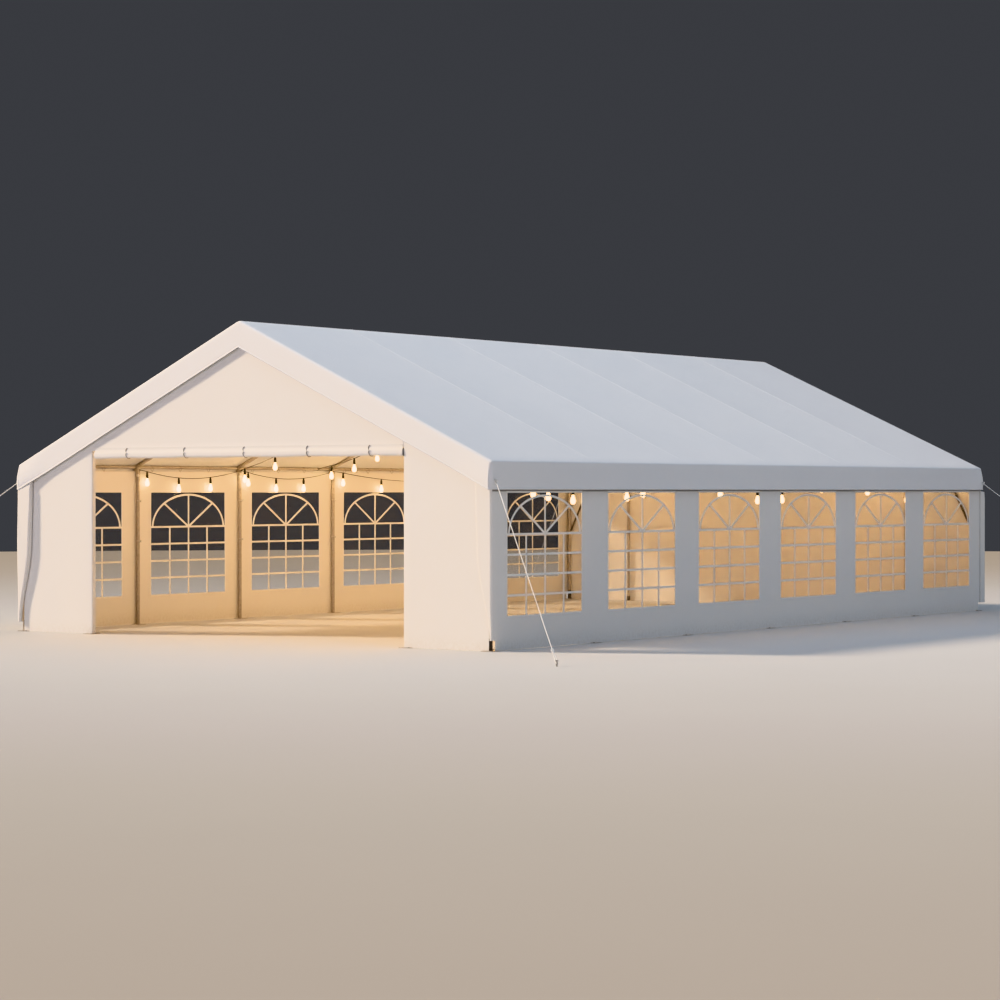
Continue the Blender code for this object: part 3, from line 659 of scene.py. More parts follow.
for end in (-1, 1):
    rows, uvRows = [], []
    for _, ((x, z), (nx, nz), *_) in overRails:
        topX, topZ = x - nx * edge, z - nz * edge
        inward = hall["coverX"] - edge - abs(topX)  # distance from the corner
        foot = hall["valanceFoot"] + inward * roof["gableFootSlope"]
        fade = max(0.0, sin(pi * (topX / (2 * (hall["coverX"] - edge)) + 0.5))) ** 0.5
        row = []
        for h, bulge in valanceRows(topZ - foot):
            hang = 1 - h / (topZ - foot)
            lift = bulge + roof["ripple"] * hang * fade * (wander(topX, end, 4, 0.5) + 0.4)
            lift += cornerBulge(1 if topX > 0 else -1, end, inward, hang, 1.0)
            row.append(Vector((topX, end * (hall["coverY"] + lift), foot + h)))
        rows.append(row)
        uvRows.append([(place.x + 20, place.z) for place in row])
    addGrid(bm, rows, uvRows)
facesOut(bm)
faceToward(bm, zAxis)
roofCover = addSheet(bm, "roofCover", roofFabric, roof["thickness"], "roof_fabric", "roof_cover")
print("roof cover", len(roofCover.data.polygons))

# welded seams of the roof, over the rafters between the bays
seams = {  # across the seam, in its widths: how high it stands at each line
    "width": 0.04, "lift": 0.0002, "height": 0.0012, "thickness": 0.0006,
    "lines": ((-0.5, 0), (-0.46, 1), (-0.2, 1), (0, 1), (0.2, 1), (0.46, 1), (0.5, 0))}
bm = bmesh.new()
for frameLine in frameRows[1:-1]:
    rows, uvRows = [], []
    for across, raised in seams["lines"]:
        y = frameLine + seams["width"] * across
        row = []
        for index, ((x, z), (nx, nz), bulge, share, hang) in overRails:
            lift = roofOffset(1 if index * 2 < len(section) else -1, y, bulge, share, hang)
            lift += seams["height"] * raised + seams["lift"]
            row.append(Vector((x + nx * lift, y, z + nz * lift)))
        rows.append(row)
        uvRows.append([(y, index * 0.1) for index, _ in overRails])
    addGrid(bm, rows, uvRows)
faceToward(bm, zAxis)
addSheet(bm, "roofSeams", roofFabric, seams["thickness"], "roof_fabric")
print("roof seams")

# long walls, wrapped loosely round the corner posts as flaps
opening = {"wide": 1.474, "high": 1.37, "sill": 0.376}  # of each window, in the wall
wall = {
    "thickness": 0.0012, "foot": 0.0015, "plateLift": 0.006, "plateReach": (0.08, 0.10), "top": 2.019,
    "gableFace": 6.0885, "sideEnd": 6.0576, "inset": 0.001, "corner": 0.03, "flapLift": 0.12,
    "flapReturn": 0.012, "leg": 0.055, "legGap": 0.010, "notchY": 6.050, "ripple": 0.0045, "cell": 0.098,
    "postPush": 0.0025, "pushReach": 0.05, "freeReach": 0.16, "lowUnder": 0.9,
    "pushFrom": 5.80, "pushOver": 0.24, "stillFrom": 6.0, "stillOver": 0.1,
    "footHeights": (0.010, 0.03, 0.05, 0.12, 0.17, 0.23, 0.30),
    "headHeights": (1.765, 1.785, 1.80, 1.86, 1.94),
    # from a flap's free edge to the corner: shares of its leg, degrees, shares of its face, degrees
    "flapMarks": {"leg": (1.0, 0.5), "curl": (90, 65, 40, 20, 0), "face": (0.85, 0.68, 0.5, 0.34, 0.18, 0.05),
                  "turn": (90, 75, 60, 45, 30, 15)},
    "levels": (0.12, 1.10, 1.74, 2.019),  # heights at which a corner's flap is given
    "flapWidths": (0.035, 0.205, 0.225, 0.225),
    "push": {(-1, -1): 0.034, (1, -1): 0.028, (-1, 1): 0.026, (1, 1): 0.020},
    "stand": {  # distance of each corner's flap from the gable, at the levels
        (-1, -1): (0.056, 0.077, 0.066, 0.028), (1, -1): (0.024, 0.026, 0.029, 0.028),
        (-1, 1): (0.036, 0.050, 0.042, 0.028), (1, 1): (0.028, 0.028, 0.028, 0.026)},
    # the loose flap at the rear right: a deep fold, then a strip that stands straight out
    "fold": {15: (0.0, 6.084), 30: (0.040, 6.094), 45: (0.075, 6.100), 60: (0.075, 6.114), 75: (0.040, 6.122),
             90: (0.0, 6.130)},
    "strip": 0.14, "stripBow": 0.006, "looseBelow": 1.80, "looseOver": 0.06,
}


def wallOffset(side, y, z):  # how far a long wall stands out at a place
    away = min(abs(line - y) for line in frameRows)
    push, held = (exp(-(away / wall[reach]) ** 2) for reach in ("pushReach", "freeReach"))
    low = 1 - smooth(z / wall["lowUnder"])
    soft = wander(y, z * 0.25, 11 + side, 0.42) + 0.5 * wander(y, z * 0.2, 13 + side, 0.17) * low
    return wall["postPush"] * push + wall["ripple"] * (1 - held) * soft * (0.45 + 0.8 * low)


def footAt(place, plates):  # a wall's lower edge, lifted over the foot plates
    near = min(abs(place - plate) for plate in plates) < sum(wall["plateReach"]) / 2
    return wall["foot"] + wall["plateLift"] * near


def plateMarks(plates, limit):
    marks = [plate + sign * reach for plate in plates for sign in (-1, 1) for reach in wall["plateReach"]]
    return [mark for mark in marks if abs(mark) < limit]


def atLevel(values, z):  # a smooth reading between the levels
    levels = wall["levels"]
    for low, high, first, second in zip(levels, levels[1:], values, values[1:]):
        if z <= high or high == levels[-1]:
            return first + (second - first) * smooth((z - low) / (high - low))


def closedFlap(kind, value, z, outerX, stand):  # across and along the hall, from the gable's own corner
    width = atLevel(wall["flapWidths"], z)
    faceY = wall["gableFace"] + stand
    radius, hem = min(wall["corner"], width * 0.4), min(wall["flapReturn"], width * 0.25)
    if kind == "leg":
        return Vector((outerX - width, faceY - hem - min(wall["leg"], stand - hem - wall["legGap"]) * value))
    if kind == "face":
        return Vector((outerX - radius - (width - radius - hem) * value, faceY))
    angle = radians(value)
    if kind == "curl":
        return Vector((outerX - width + hem - hem * sin(angle), faceY - hem + hem * cos(angle)))
    return Vector((outerX - radius + radius * cos(angle), faceY - radius + radius * sin(angle)))


def openFlap(kind, value, outerX):
    start = wall["fold"][90][1]
    if kind == "turn":
        inward, y = wall["fold"][value]
        return Vector((outerX - inward, y))
    if kind == "face":
        return Vector((outerX + wall["stripBow"] * sin(pi * value), start + wall["strip"] * value))
    hem = wall["flapReturn"] / 2
    angle = radians(90 if kind == "leg" else value)
    spot = Vector((outerX - hem + hem * cos(angle), start + wall["strip"] + hem * sin(angle)))
    return spot - Vector((wall["flapReturn"] * value, 0)) if kind == "leg" else spot


def flapPoint(kind, value, z, side, end):
    outerX = hall["wallX"] + wall["push"][side, end]
    spot = closedFlap(kind, value, z, outerX, atLevel(wall["stand"][side, end], z))
    if (side, end) == (1, 1):
        spot = spot.lerp(openFlap(kind, value, outerX), smooth((wall["looseBelow"] - z) / wall["looseOver"]))
    return Vector((side * spot.x, end * spot.y, z))


bayCentres = [frameY(bay) + hall["bayPitch"] / 2 for bay in range(1, hall["bays"] + 1)]
wallWindows = [(middle - opening["wide"] / 2, middle + opening["wide"] / 2) for middle in bayCentres]
lintel = opening["sill"] + opening["high"]
heights = [wall["foot"], *wall["footHeights"], *steps(opening["sill"], lintel, wall["cell"]),
           *wall["headHeights"], wall["top"]]
flapColumns = [(kind, mark) for kind, marks in wall["flapMarks"].items() for mark in marks]
marks = [mark for window in wallWindows for mark in window] + plateMarks(frameRows, wall["notchY"])
marks += [sign * reach for sign in (-1, 1) for reach in (wall["sideEnd"], wall["notchY"])]
columns = [(-1, kind, mark) for kind, mark in flapColumns]
columns += [(0, "side", y) for y in steppedThrough(sorted(marks), wall["cell"])]
columns += [(1, kind, mark) for kind, mark in flapColumns[::-1]]


def wallColumn(side, end, kind, mark):
    if end:
        return [flapPoint(kind, mark, z, side, end) for z in heights]
    push = wall["push"][side, 1 if mark > 0 else -1]
    push *= smooth((abs(mark) - wall["pushFrom"]) / wall["pushOver"])
    free = smooth((wall["stillFrom"] - abs(mark)) / wall["stillOver"])
    row = [Vector((side * (hall["wallX"] - wall["inset"] + push + wallOffset(side, mark, z) * free), mark, z))
           for z in heights]
    row[0].z = footAt(mark, frameRows)
    return row


def addSideWall(sideName, side):
    rows = [wallColumn(side, *column) for column in columns]
    middle = [row[len(heights) // 2] for row in rows]
    uvRows = [[(pathLength(middle[:k + 1]), z) for z in heights] for k in range(len(rows))]

    def skip(i, j):  # the windows, and the notch at the foot of each corner
        spot = (rows[i][j] + rows[i + 1][j + 1]) / 2
        if abs(spot.y) > wall["notchY"] - 0.001 and heights[j] < wall["flapLift"]:
            return True
        return (columns[i][0] == columns[i + 1][0] == 0 and opening["sill"] < spot.z < lintel
                and any(low < spot.y < high for low, high in wallWindows))

    bm = bmesh.new()
    addGrid(bm, rows, uvRows, skip)
    weld(bm)
    faceToward(bm, xAxis * side)
    sheet = addSheet(bm, "sideWall_" + sideName, wallFabric, wall["thickness"], "wall_fabric",
                     f"side_wall_{sideName}")
    width, height = pathLength(middle), wall["top"] - wall["foot"]
    taper = (wall["flapWidths"][-1] - wall["flapWidths"][0]) * (wall["top"] - wall["flapLift"])
    round(width * height - hall["bays"] * opening["wide"] * opening["high"] - taper, 2)


for sideName, side in sides:
    addSideWall(sideName, side)
print("long walls")

# gable walls: one flat sheet each, with the doorway cut through the front one
gable = {
    "halfWidth": 3.612, "top": 3.8, "doorX": 2.427, "doorTop": 2.253, "stillUnder": 2.42, "cell": 0.095,
    "plates": [sign * hall[post] for sign in (-1, 1) for post in ("postX", "gablePostX")],
    "ripple": 0.006, "jamb": (0.02, 0.04, 0.058), "rounding": 0.012,
    "lowUnder": 1.6, "edgeFade": 0.15, "jambFade": 0.12, "headFade": 0.3,
    "underRoof": 0.0075, "crownCuts": (-0.28, -0.09, 0.09, 0.28),  # angles of the cuts under the ridge
}


def gableOffset(x, z, seed):
    low = 1 - smooth(z / gable["lowUnder"])
    folds = wander(x, z * 0.2, seed, 0.33) * (0.5 + 0.6 * low)
    folds += 0.35 * wander(x, z * 0.5, seed + 1, 0.14) * low
    return gable["ripple"] * folds * smooth((gable["halfWidth"] - abs(x)) / gable["edgeFade"])


def addGable(name, end, node, doorway):
    bm = bmesh.new()
    half, doorX, doorTop = gable["halfWidth"], gable["doorX"], gable["doorTop"]
    marks = [-half, -doorX, doorX, half] + plateMarks(gable["plates"], half)
    xs = steppedThrough(sorted(marks), gable["cell"])
    zs = steppedThrough([wall["foot"], 0.03, doorTop, gable["top"]], gable["cell"])
    addGrid(bm, [[(x, 0, z) for z in zs] for x in xs], [[(x, z) for z in zs] for x in xs],
            lambda i, j: doorway and abs(xs[i] + xs[i + 1]) / 2 < doorX and (zs[j] + zs[j + 1]) / 2 < doorTop)
    weld(bm)
    for vert in bm.verts:
        if vert.co.z < wall["foot"] + 0.001:
            vert.co.z = footAt(vert.co.x, gable["plates"])
    top = zAxis * roofHeight(0, gable["underRoof"])
    cuts = [(top, (sin(pitch) * side, 0, cos(pitch))) for side in (-1, 1)]
    for angle in gable["crownCuts"]:
        way = Vector((sin(angle), 0, cos(angle)))
        cuts.append((zAxis * crownZ + way * (roof["ridgeRadius"] - gable["underRoof"]), way))
    for point, normal in cuts:
        bmesh.ops.bisect_plane(bm, geom=bm.verts[:] + bm.edges[:] + bm.faces[:], dist=0.00001,
                               plane_co=point, plane_no=normal, clear_outer=True)
    faceToward(bm, yAxis * end)
    if doorway:  # the jambs turn back round the posts beside the doorway
        jamb = [e for e in bm.edges if e.is_boundary and all(
            abs(abs(v.co.x) - doorX) < 0.001 and v.co.z < doorTop + 0.001 for v in e.verts)]
        for depth in gable["jamb"]:
            grown = bmesh.ops.extrude_edge_only(bm, edges=jamb)["geom"]
            for vert in [g for g in grown if isinstance(g, bmesh.types.BMVert)]:
                vert.co.y = -end * depth
            jamb = [g for g in grown if isinstance(g, bmesh.types.BMEdge)]
    for vert in bm.verts:
        shift = gableOffset(vert.co.x, vert.co.z, 21 if end < 0 else 31)
        if doorway:
            shift *= smooth(abs(abs(vert.co.x) - doorX) / gable["jambFade"])
            if abs(vert.co.x) < doorX:  # lies flat behind the curtain's head
                shift *= smooth((vert.co.z - gable["stillUnder"]) / gable["headFade"])
        vert.co.y += end * (wall["gableFace"] + shift)
    sheet = addSheet(bm, name, wallFabric, wall["thickness"], "wall_fabric", node, sharpAngle=60,
                     bevel=gable["rounding"] * doorway)
    area = 2 * half * (roofHeight(half) - wall["foot"]) + half ** 2 * slope
    if doorway:
        area -= 2 * doorX * (doorTop - wall["foot"]) - 4 * gable["jamb"][-1]
    round(top.z - wall["foot"], 2)


addGable("frontWall", -1, "front_wall", True)
addGable("rearWall", 1, "rear_wall", False)
print("gable walls")

# windows: clear film in each opening, with welded borders and bars
window = {
    "lap": 0.010, "filmX": 3.6388, "film": 0.0006, "cell": 0.09, "barStep": 0.05, "borderOut": 0.005,
    "bars": (0.024, 0.0055, 3.6388), "border": (0.020, 0.0075, 3.6393),  # width, depth and X
    "springHeight": 0.905, "archHalf": 0.70, "archRise": 0.43, "archSteps": 36, "spokeX": 0.485,
    "spokeRise": 0.32, "rowHeight": 0.226,
}


def resampled(path):  # close points, so that a bar can follow the film's waves
    points = [path[0]]
    for start, finish in zip(path, path[1:]):
        count = ceil(dist(start, finish) / window["barStep"])
        points += [tuple(Vector(start).lerp(Vector(finish), k / count)) for k in range(1, count + 1)]
    return points


def latticePaths():  # each bar's centre line, across and up from the middle of the sill
    half, spring, rise = opening["wide"] / 2, window["springHeight"], window["archRise"]
    arch = [(window["archHalf"] * cos(angle), spring + rise * sin(angle))
            for angle in steps(0.0, pi, pi / window["archSteps"])]
    bars = [arch, [(0, 0), (0, spring + rise)], [(-half, spring), (half, spring)]]
    bars += [[(0, spring), (s * window["spokeX"], spring + window["spokeRise"])] for s in (-1, 1)]
    bars += [[(s * half, spring - window["rowHeight"] * k) for s in (-1, 1)] for k in (1, 2, 3)]
    bars += [[(s * half / 2, 0), (s * half / 2, spring)] for s in (-1, 1)]
    out = window["borderOut"]
    low, high, wide = -out, opening["high"] + out, half + out
    border = [[(-wide - out, z), (wide + out, z)] for z in (low, high)]
    border += [[(s * wide, low), (s * wide, high)] for s in (-1, 1)]
    return {"bars": [resampled(path) for path in bars], "border": [resampled(path) for path in border]}


def newTree(name, kinds):  # a tree with its named inputs, and one output of geometry
    tree = bpy.data.node_groups.new(name, "GeometryNodeTree")
    graph = Graph(tree)
    for label, kind in kinds.items():
        tree.interface.new_socket(label, in_out="INPUT", socket_type="NodeSocket" + kind)
    tree.interface.new_socket("Made", in_out="OUTPUT", socket_type="NodeSocketGeometry")
    given = tree.nodes.new("NodeGroupInput")
    return graph, {label: Wire(graph, given.outputs[label]) for label in kinds}


def finishTree(graph, made, finish):
    real = graph.node("GeometryNodeRealizeInstances", {}, {"Geometry": made})
    painted = graph.node("GeometryNodeSetMaterial", {}, {"Geometry": real, "Material": finish})
    graph.tree.links.new(painted.socket, graph.tree.nodes.new("NodeGroupOutput").inputs["Made"])
    return graph.tree


def latticeTree():  # bars: a flat strip swept along every path
    graph, given = newTree("windowBars", {
        "Paths": "Geometry", "Bar width": "Float", "Bar depth": "Float", "Place": "Vector", "Turn": "Vector"})
    upright = graph.node("GeometryNodeSetCurveNormal", {"mode": "Z_UP"}, {"Curve": given["Paths"]})
    profile = graph.node("GeometryNodeCurvePrimitiveQuadrilateral", {"mode": "RECTANGLE"}, {
        "Width": given["Bar width"], "Height": given["Bar depth"]})
    swept = graph.node("GeometryNodeCurveToMesh", {}, {
        "Curve": upright, "Profile Curve": profile, "Fill Caps": True})
    return finishTree(graph, graph.node("GeometryNodeTransform", {}, {
        "Geometry": swept, "Translation": given["Place"], "Rotation": given["Turn"]}), barFabric)


def grown(name, source, tree, values, sharpAngle=40.0):  # the tree's result as a plain mesh
    holder = addObject(name, source)
    modifier = holder.modifiers.new("grown", "NODES")
    modifier.node_group = tree
    for item in tree.interface.items_tree:
        if item.in_out == "INPUT" and item.name in values:
            modifier[item.identifier] = values[item.name]
    return settled(holder, sharpAngle)


def addFilm(sideName, side, bay, middle):
    lap, half = window["lap"], opening["wide"] / 2
    rows = [[Vector((side * (window["filmX"] + wallOffset(side, y, z)), y, z))
             for z in steps(opening["sill"] - lap, lintel + lap, window["cell"])]
            for y in steps(middle - half - lap, middle + half + lap, window["cell"])]
    bm = bmesh.new()
    addGrid(bm, rows, [[place.yz for place in row] for row in rows])
    faceToward(bm, xAxis * side)
    return addSheet(bm, f"windowFilm_{sideName}_{bay}", clearFilm, window["film"], "window_film",
                    f"window_film_{sideName}")


def addBars(name, side, middle):
    bm = bmesh.new()
    for part, paths in lattice.items():
        width, depth, x = window[part]
        made = grown(part, curveOf(part, paths), barsTree, {
            "Bar width": width, "Bar depth": depth, "Place": (side * x, middle, opening["sill"]),
            "Turn": (pi / 2, 0.0, pi / 2)})
        bm.from_mesh(made.data)
        bpy.data.objects.remove(made)
    facesOut(bm)
    for vert in bm.verts:
        vert.co.x += side * wallOffset(side, vert.co.y, vert.co.z)
    return mount(addObject(name, meshFrom(bm, name), barFabric), "wall_fabric")


lattice, barsTree = latticePaths(), latticeTree()
for sideName, side in sides:
    for bay, middle in enumerate(bayCentres, 1):
        film = addFilm(sideName, side, bay, middle)
        bars = addBars(f"windowBars_{sideName}_{bay}", side, middle)
print("windows")

# door curtain, rolled up in the head of the doorway
curtain = {
    "halfWidth": 2.3975, "shift": 0.0225, "length": 2.3, "thickness": 0.0012, "column": 0.115,
    "middle": (6.0685, 2.204), "reach": (0.0425, 0.046),  # the roll's middle and its reach, in Y and Z
    "squareness": 0.72, "turns": 12, "core": 0.16, "pointsPerTurn": 20, "startAngle": -60,
    "ties": (-1.826, -0.876, 0.065, 1.035, 1.952), "pinch": 0.06, "pinchReach": 0.045, "swell": 0.03,
    "drop": 0.005, "dropReach": 0.47,
    # the head, stitched to the gable: how far out, and how high
    "head": ((6.0915, 2.400), (6.0918, 2.350), (6.0922, 2.296), (6.0938, 2.292), (6.0938, 2.284),
             (6.0924, 2.280), (6.0925, 2.266)),
}


def signedPower(value, power):
    return copysign(abs(value) ** power, value)


def rollPoint(x, angle, share=0.0, stand=0.0):  # a place on the roll's squared section
    nearest = min(abs(x - tie) for tie in curtain["ties"])
    swell = 1.0 + curtain["swell"] * wander(x, 0.0, 41, 0.4)
    swell -= curtain["pinch"] * exp(-(nearest / curtain["pinchReach"]) ** 2)
    drop = curtain["drop"] * (smooth(nearest / curtain["dropReach"]) + 0.5 * wander(x, 1.0, 42, 0.5))
    size = swell * (1 - (1 - curtain["core"]) * share)
    y, z = (middle + (reach * size + stand) * signedPower(way, curtain["squareness"])
            for middle, reach, way in zip(curtain["middle"], curtain["reach"], (cos(angle), -sin(angle))))
    return Vector((x, -y, z - drop))


def curtainRow(x):
    total = curtain["turns"] * curtain["pointsPerTurn"]
    return [Vector((x, -y, z)) for y, z in curtain["head"]] + [
        rollPoint(x, radians(curtain["startAngle"]) + tau * curtain["turns"] * k / total, k / total)
        for k in range(total + 1)]


def curtainFront(x, z):  # the curtain's front at a height, as a Y
    row = curtainRow(x)
    for upper, lower in zip(row, row[1:]):
        if lower.z <= z <= upper.z:
            return upper.y + (lower.y - upper.y) * (upper.z - z) / (upper.z - lower.z + 0.000001)


low, high = (curtain["shift"] + sign * curtain["halfWidth"] for sign in (-1, 1))
rows = [curtainRow(x) for x in steps(low, high, curtain["column"])]
bm = bmesh.new()
addGrid(bm, rows, [[(row[0].x, 0.015 * k) for k in range(len(row))] for row in rows])
faceToward(bm, -yAxis)
doorCurtain = addSheet(bm, "doorCurtain", wallFabric, curtain["thickness"], "wall_fabric", "door_roll",
                       offset=0.0, sharpAngle=60)
print("door curtain")

# steel frame: the CAD tubes take the steel finish, and sleeves, bolts and pegs go on them
fittings = {
    "over": 0.0026, "chamfer": 0.003, "chamferDepth": 0.0018,
    "eave": (3.30, 0.34), "ridge": (0.10, 0.30),  # X of a rafter sleeve's start, and its length
    "ridgeZ": 3.7348, "rail": 0.13, "railPast": 0.02, "postSleeve": 0.16, "postTop": 0.012, "postOver": 0.0024,
    "postBolt": 0.0268, "boltInset": 0.03, "gableSleeve": 0.12, "gableTop": 0.014,
    "gableRadius": 0.0234, "boltSink": 0.0006,
    "boltShares": (0.16, 0.84), "boltRadius": 0.0062, "boltHead": 0.0045, "washer": (0.0095, 0.0012),
    "plateReach": 0.056, "footLow": 0.006,
    # dark feet of the end posts: height and radius
    "feet": (("postX", 0.14, 0.0274), ("gablePostX", 0.075, 0.0238)),
    "peg": ((0.011, 0.006), (0.011, 0.0095), (0.00825, 0.0122), (0.0033, 0.0132)),
}


def finishNode(name, finish):
    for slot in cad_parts[name].material_slots:
        slot.link = "OBJECT"
        slot.material = finish


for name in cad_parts:
    if name.startswith(("post_", "rafter_", "ridge_rail", "eave_rail", "gable_post", "knee_brace")):
        # the knee braces take the dark foot steel as painted shade, so they stay dark as if in shadow against
        # the lit walls
        finishNode(name, footSteel if name.startswith("knee_brace") else steelTube)


def addSleeve(bm, start, end, radius, around=20):
    start, end = Vector(start), Vector(end)
    run = (end - start).normalized() * fittings["chamfer"]
    tubeMesh(bm, [start, start + run, end - run, end],
             lambda share: radius - (fittings["chamferDepth"] if share in (0, 1) else 0), around)


bm = bmesh.new()
bolts = []  # where each bolt head sits, and which way it points
rafterRadius = hall["rafterRadius"] + fittings["over"]
railRadius = hall["railRadius"] + fittings["over"]
underRafters = rafterInset + hall["rafterRadius"]
for y in frameRows:
    reach = hall["endY"] + fittings["railPast"]
    low, high = max(-reach, y - fittings["rail"]), min(reach, y + fittings["rail"])
    for _, side in sides:
        way = Vector((side * cos(pitch), 0, -sin(pitch)))
        for x, length in (fittings["eave"], fittings["ridge"]):
            start = Vector((side * x, y, roofHeight(x, rafterInset)))
            addSleeve(bm, start, start + way * length, rafterRadius)
            bolts += [(start + way * length * share + yAxis * (face * (rafterRadius - fittings["boltSink"])),
                       (-face * pi / 2, 0, 0)) for share in fittings["boltShares"] for face in (-1, 1)]
        x = side * hall["postX"]
        top = roofHeight(hall["postX"] + hall["postRadius"], underRafters) - fittings["postTop"]
        foot = top - fittings["postSleeve"]
        addSleeve(bm, (x, y, foot), (x, y, top), hall["postRadius"] + fittings["postOver"], 24)
        bolts += [((x - side * fittings["postBolt"], y, z), (0, -side * pi / 2, 0))
                  for z in (top - fittings["boltInset"], foot + fittings["boltInset"])]
        x, z = side * hall["railX"], hall["railZ"]
        addSleeve(bm, (x, low, z), (x, high, z), railRadius)
    addSleeve(bm, (0, low, fittings["ridgeZ"]), (0, high, fittings["ridgeZ"]), railRadius)
endPlaces = [(side, end) for _, end in ends for _, side in sides]
for side, end in endPlaces:
    x, y = side * hall["gablePostX"], end * hall["endY"]
    top = roofHeight(x, underRafters) - fittings["gableTop"]
    addSleeve(bm, (x, y, top - fittings["gableSleeve"]), (x, y, top), fittings["gableRadius"])
addSolid(bm, "frameSleeves", steelTube, "steel_tube")
bm = bmesh.new()
for side, end in endPlaces:
    for post, high, radius in fittings["feet"]:
        x, y = side * hall[post], end * hall["endY"]
        addSleeve(bm, (x, y, fittings["footLow"]), (x, y, high), radius, 24)
addSolid(bm, "postFeet", footSteel, "steel_tube")
print("sleeves")


def scatterTree():  # copies of one form on points, each turned by the point's own attribute and spun a little
    graph, given = newTree("scatter", {
        "Places": "Geometry", "Form": "Object", "Finish": "Material", "Most spin": "Float"})
    form = graph.node("GeometryNodeObjectInfo", {}, {"Object": given["Form"]}, output="Geometry")
    turn = graph.node("GeometryNodeInputNamedAttribute", {"data_type": "FLOAT_VECTOR"}, {"Name": "turn"})
    copies = graph.node("GeometryNodeInstanceOnPoints", {}, {
        "Points": given["Places"], "Instance": form, "Rotation": turn})
    chance = graph.node("FunctionNodeRandomValue", {"data_type": "FLOAT"}, {
        2: -1.0, 3: 1.0, "Seed": 5}, output=1)
    spin = graph.node("ShaderNodeCombineXYZ", {}, {"Z": chance * given["Most spin"]})
    return finishTree(graph, graph.node("GeometryNodeRotateInstances", {}, {
        "Instances": copies, "Rotation": spin, "Local Space": True}), given["Finish"])


scatter = scatterTree()
still = (0, 0, 0)


def scattered(name, places, buildForm, finish, slotName, spin=pi, sharpAngle=40.0):
    bm = bmesh.new()
    buildForm(bm)
    facesOut(bm)
    form = addObject(name + "Form", meshFrom(bm, name + "Form"), finish)
    points = bpy.data.meshes.new(name + "Places")
    points.from_pydata([tuple(place) for place, _ in places], [], [])
    turns = points.attributes.new("turn", "FLOAT_VECTOR", "POINT")
    turns.data.foreach_set("vector", [value for _, turn in places for value in turn])
    made = grown(name, points, scatter, {"Form": form, "Finish": finish, "Most spin": spin}, sharpAngle)
    bpy.data.objects.remove(form)
    mount(made, slotName)


def boltForm(bm):
    washer, low = fittings["washer"]
    lathe(bm, [(washer, 0), (washer, low)], 14)
    radius, height = fittings["boltRadius"], fittings["boltHead"]
    lathe(bm, [(radius, low), (radius, low + height * 0.8), (radius * 0.82, low + height)], 6)


scattered("frameBolts", bolts, boltForm, stakeSteel, "steel_tube")
reach = fittings["plateReach"]
footPlaces = [(side * hall["postX"], y) for y in frameRows for _, side in sides]
footPlaces += [(side * hall["gablePostX"], end * hall["endY"]) for side, end in endPlaces]
pegs = [((x - sign * reach, y + sign * reach, 0), still) for x, y in footPlaces for sign in (1, -1)]
scattered("footPegs", pegs, lambda bm: lathe(bm, fittings["peg"], 12), stakeSteel, "steel_tube")
print("bolts and pegs")

# elastic loops with a plastic ball, on the posts and along the eave rails
loops = {
    "ball": 0.019, "cord": 0.0022, "postHeights": (1.10, 1.63), "railShares": (0.15, 0.42, 0.70),
    "ballReach": 0.052, "topBall": (0.030, -0.028, 1.965),  # from a post: inward, along, and its height
    # each loop's radius, its turn in degrees, and its first and last point
    "post": (0.0275, range(50, 311, 20), (0.046, 0.001, 0), (0.046, -0.001, 0)),
    "rail": (0.0212, range(20, 231, 21), (0.043, 0, -0.016), (0.0165, 0, -0.062)),
}


def ballForm(bm):
    angles = steps(0.0, pi, pi / 12)[1:-1]
    lathe(bm, [(loops["ball"] * sin(angle), -loops["ball"] * cos(angle)) for angle in angles], 16)


def loopForm(bm, kind):
    radius, turns, first, last = loops[kind]
    points = [(radius * cos(radians(a)), radius * sin(radians(a)), 0.003) for a in turns]
    if kind == "rail":  # round the rail and down through the wall's top eyelet
        points = [(x, 0, y) for x, y, _ in points]
    tubeMesh(bm, [first, *points, last], loops["cord"], 8, closed=True)


postLoops, railLoops, ballPlaces = [], [], []
for _, side in sides:
    turn = (0, 0, 0 if side < 0 else pi)
    for y in frameRows:
        for height in loops["postHeights"]:
            postLoops.append(((side * hall["postX"], y, height), turn))
            ballPlaces.append(((side * (hall["postX"] - loops["ballReach"]), y, height), still))
    railLoops += [((side * hall["railX"], start + share * hall["bayPitch"], hall["railZ"]), turn)
                  for start in frameRows[:-1] for share in loops["railShares"]]
    inward, along, height = loops["topBall"]
    ballPlaces += [((side * (hall["postX"] - inward), y + along, height), still) for y in frameRows]
scattered("postLoops", postLoops, lambda bm: loopForm(bm, "post"), cordBraid, "guy_rope", 0.0)
scattered("railLoops", railLoops, lambda bm: loopForm(bm, "rail"), tieCord, "guy_rope", 0.0)
scattered("loopBalls", ballPlaces, ballForm, ballPlastic, "guy_rope")
print("elastic loops")

# lamps on the strings of lights
lamp = {
    "swell": 1.15, "socketEnd": 0.086, "length": 0.107, "radius": 0.0295,
    "socket": ((0.0052, 0.006), (0.0085, 0.0045), (0.0095, -0.004), (0.0105, -0.012), (0.0105, -0.018),
               (0.0135, -0.024), (0.0142, -0.046), (0.0158, -0.048), (0.0158, -0.056), (0.0146, -0.058),
               (0.0155, -0.078), (0.0176, -0.082), (0.0176, -0.087), (0.0140, -0.089)),
    "bulb": ((0.30, 0.0), (0.42, 0.03), (0.46, 0.10), (0.56, 0.20), (0.72, 0.32), (0.88, 0.45), (0.98, 0.58),
             (1.0, 0.68), (0.94, 0.80), (0.78, 0.90), (0.52, 0.97), (0.2, 1.0)),
}
bulbProfile = [(lamp["radius"] * radius, -lamp["socketEnd"] - lamp["length"] * share)
               for radius, share in lamp["bulb"]]
socketProfile = [(radius * lamp["swell"], z) for radius, z in lamp["socket"]]
hung = [(place, still) for place in lampPlaces]
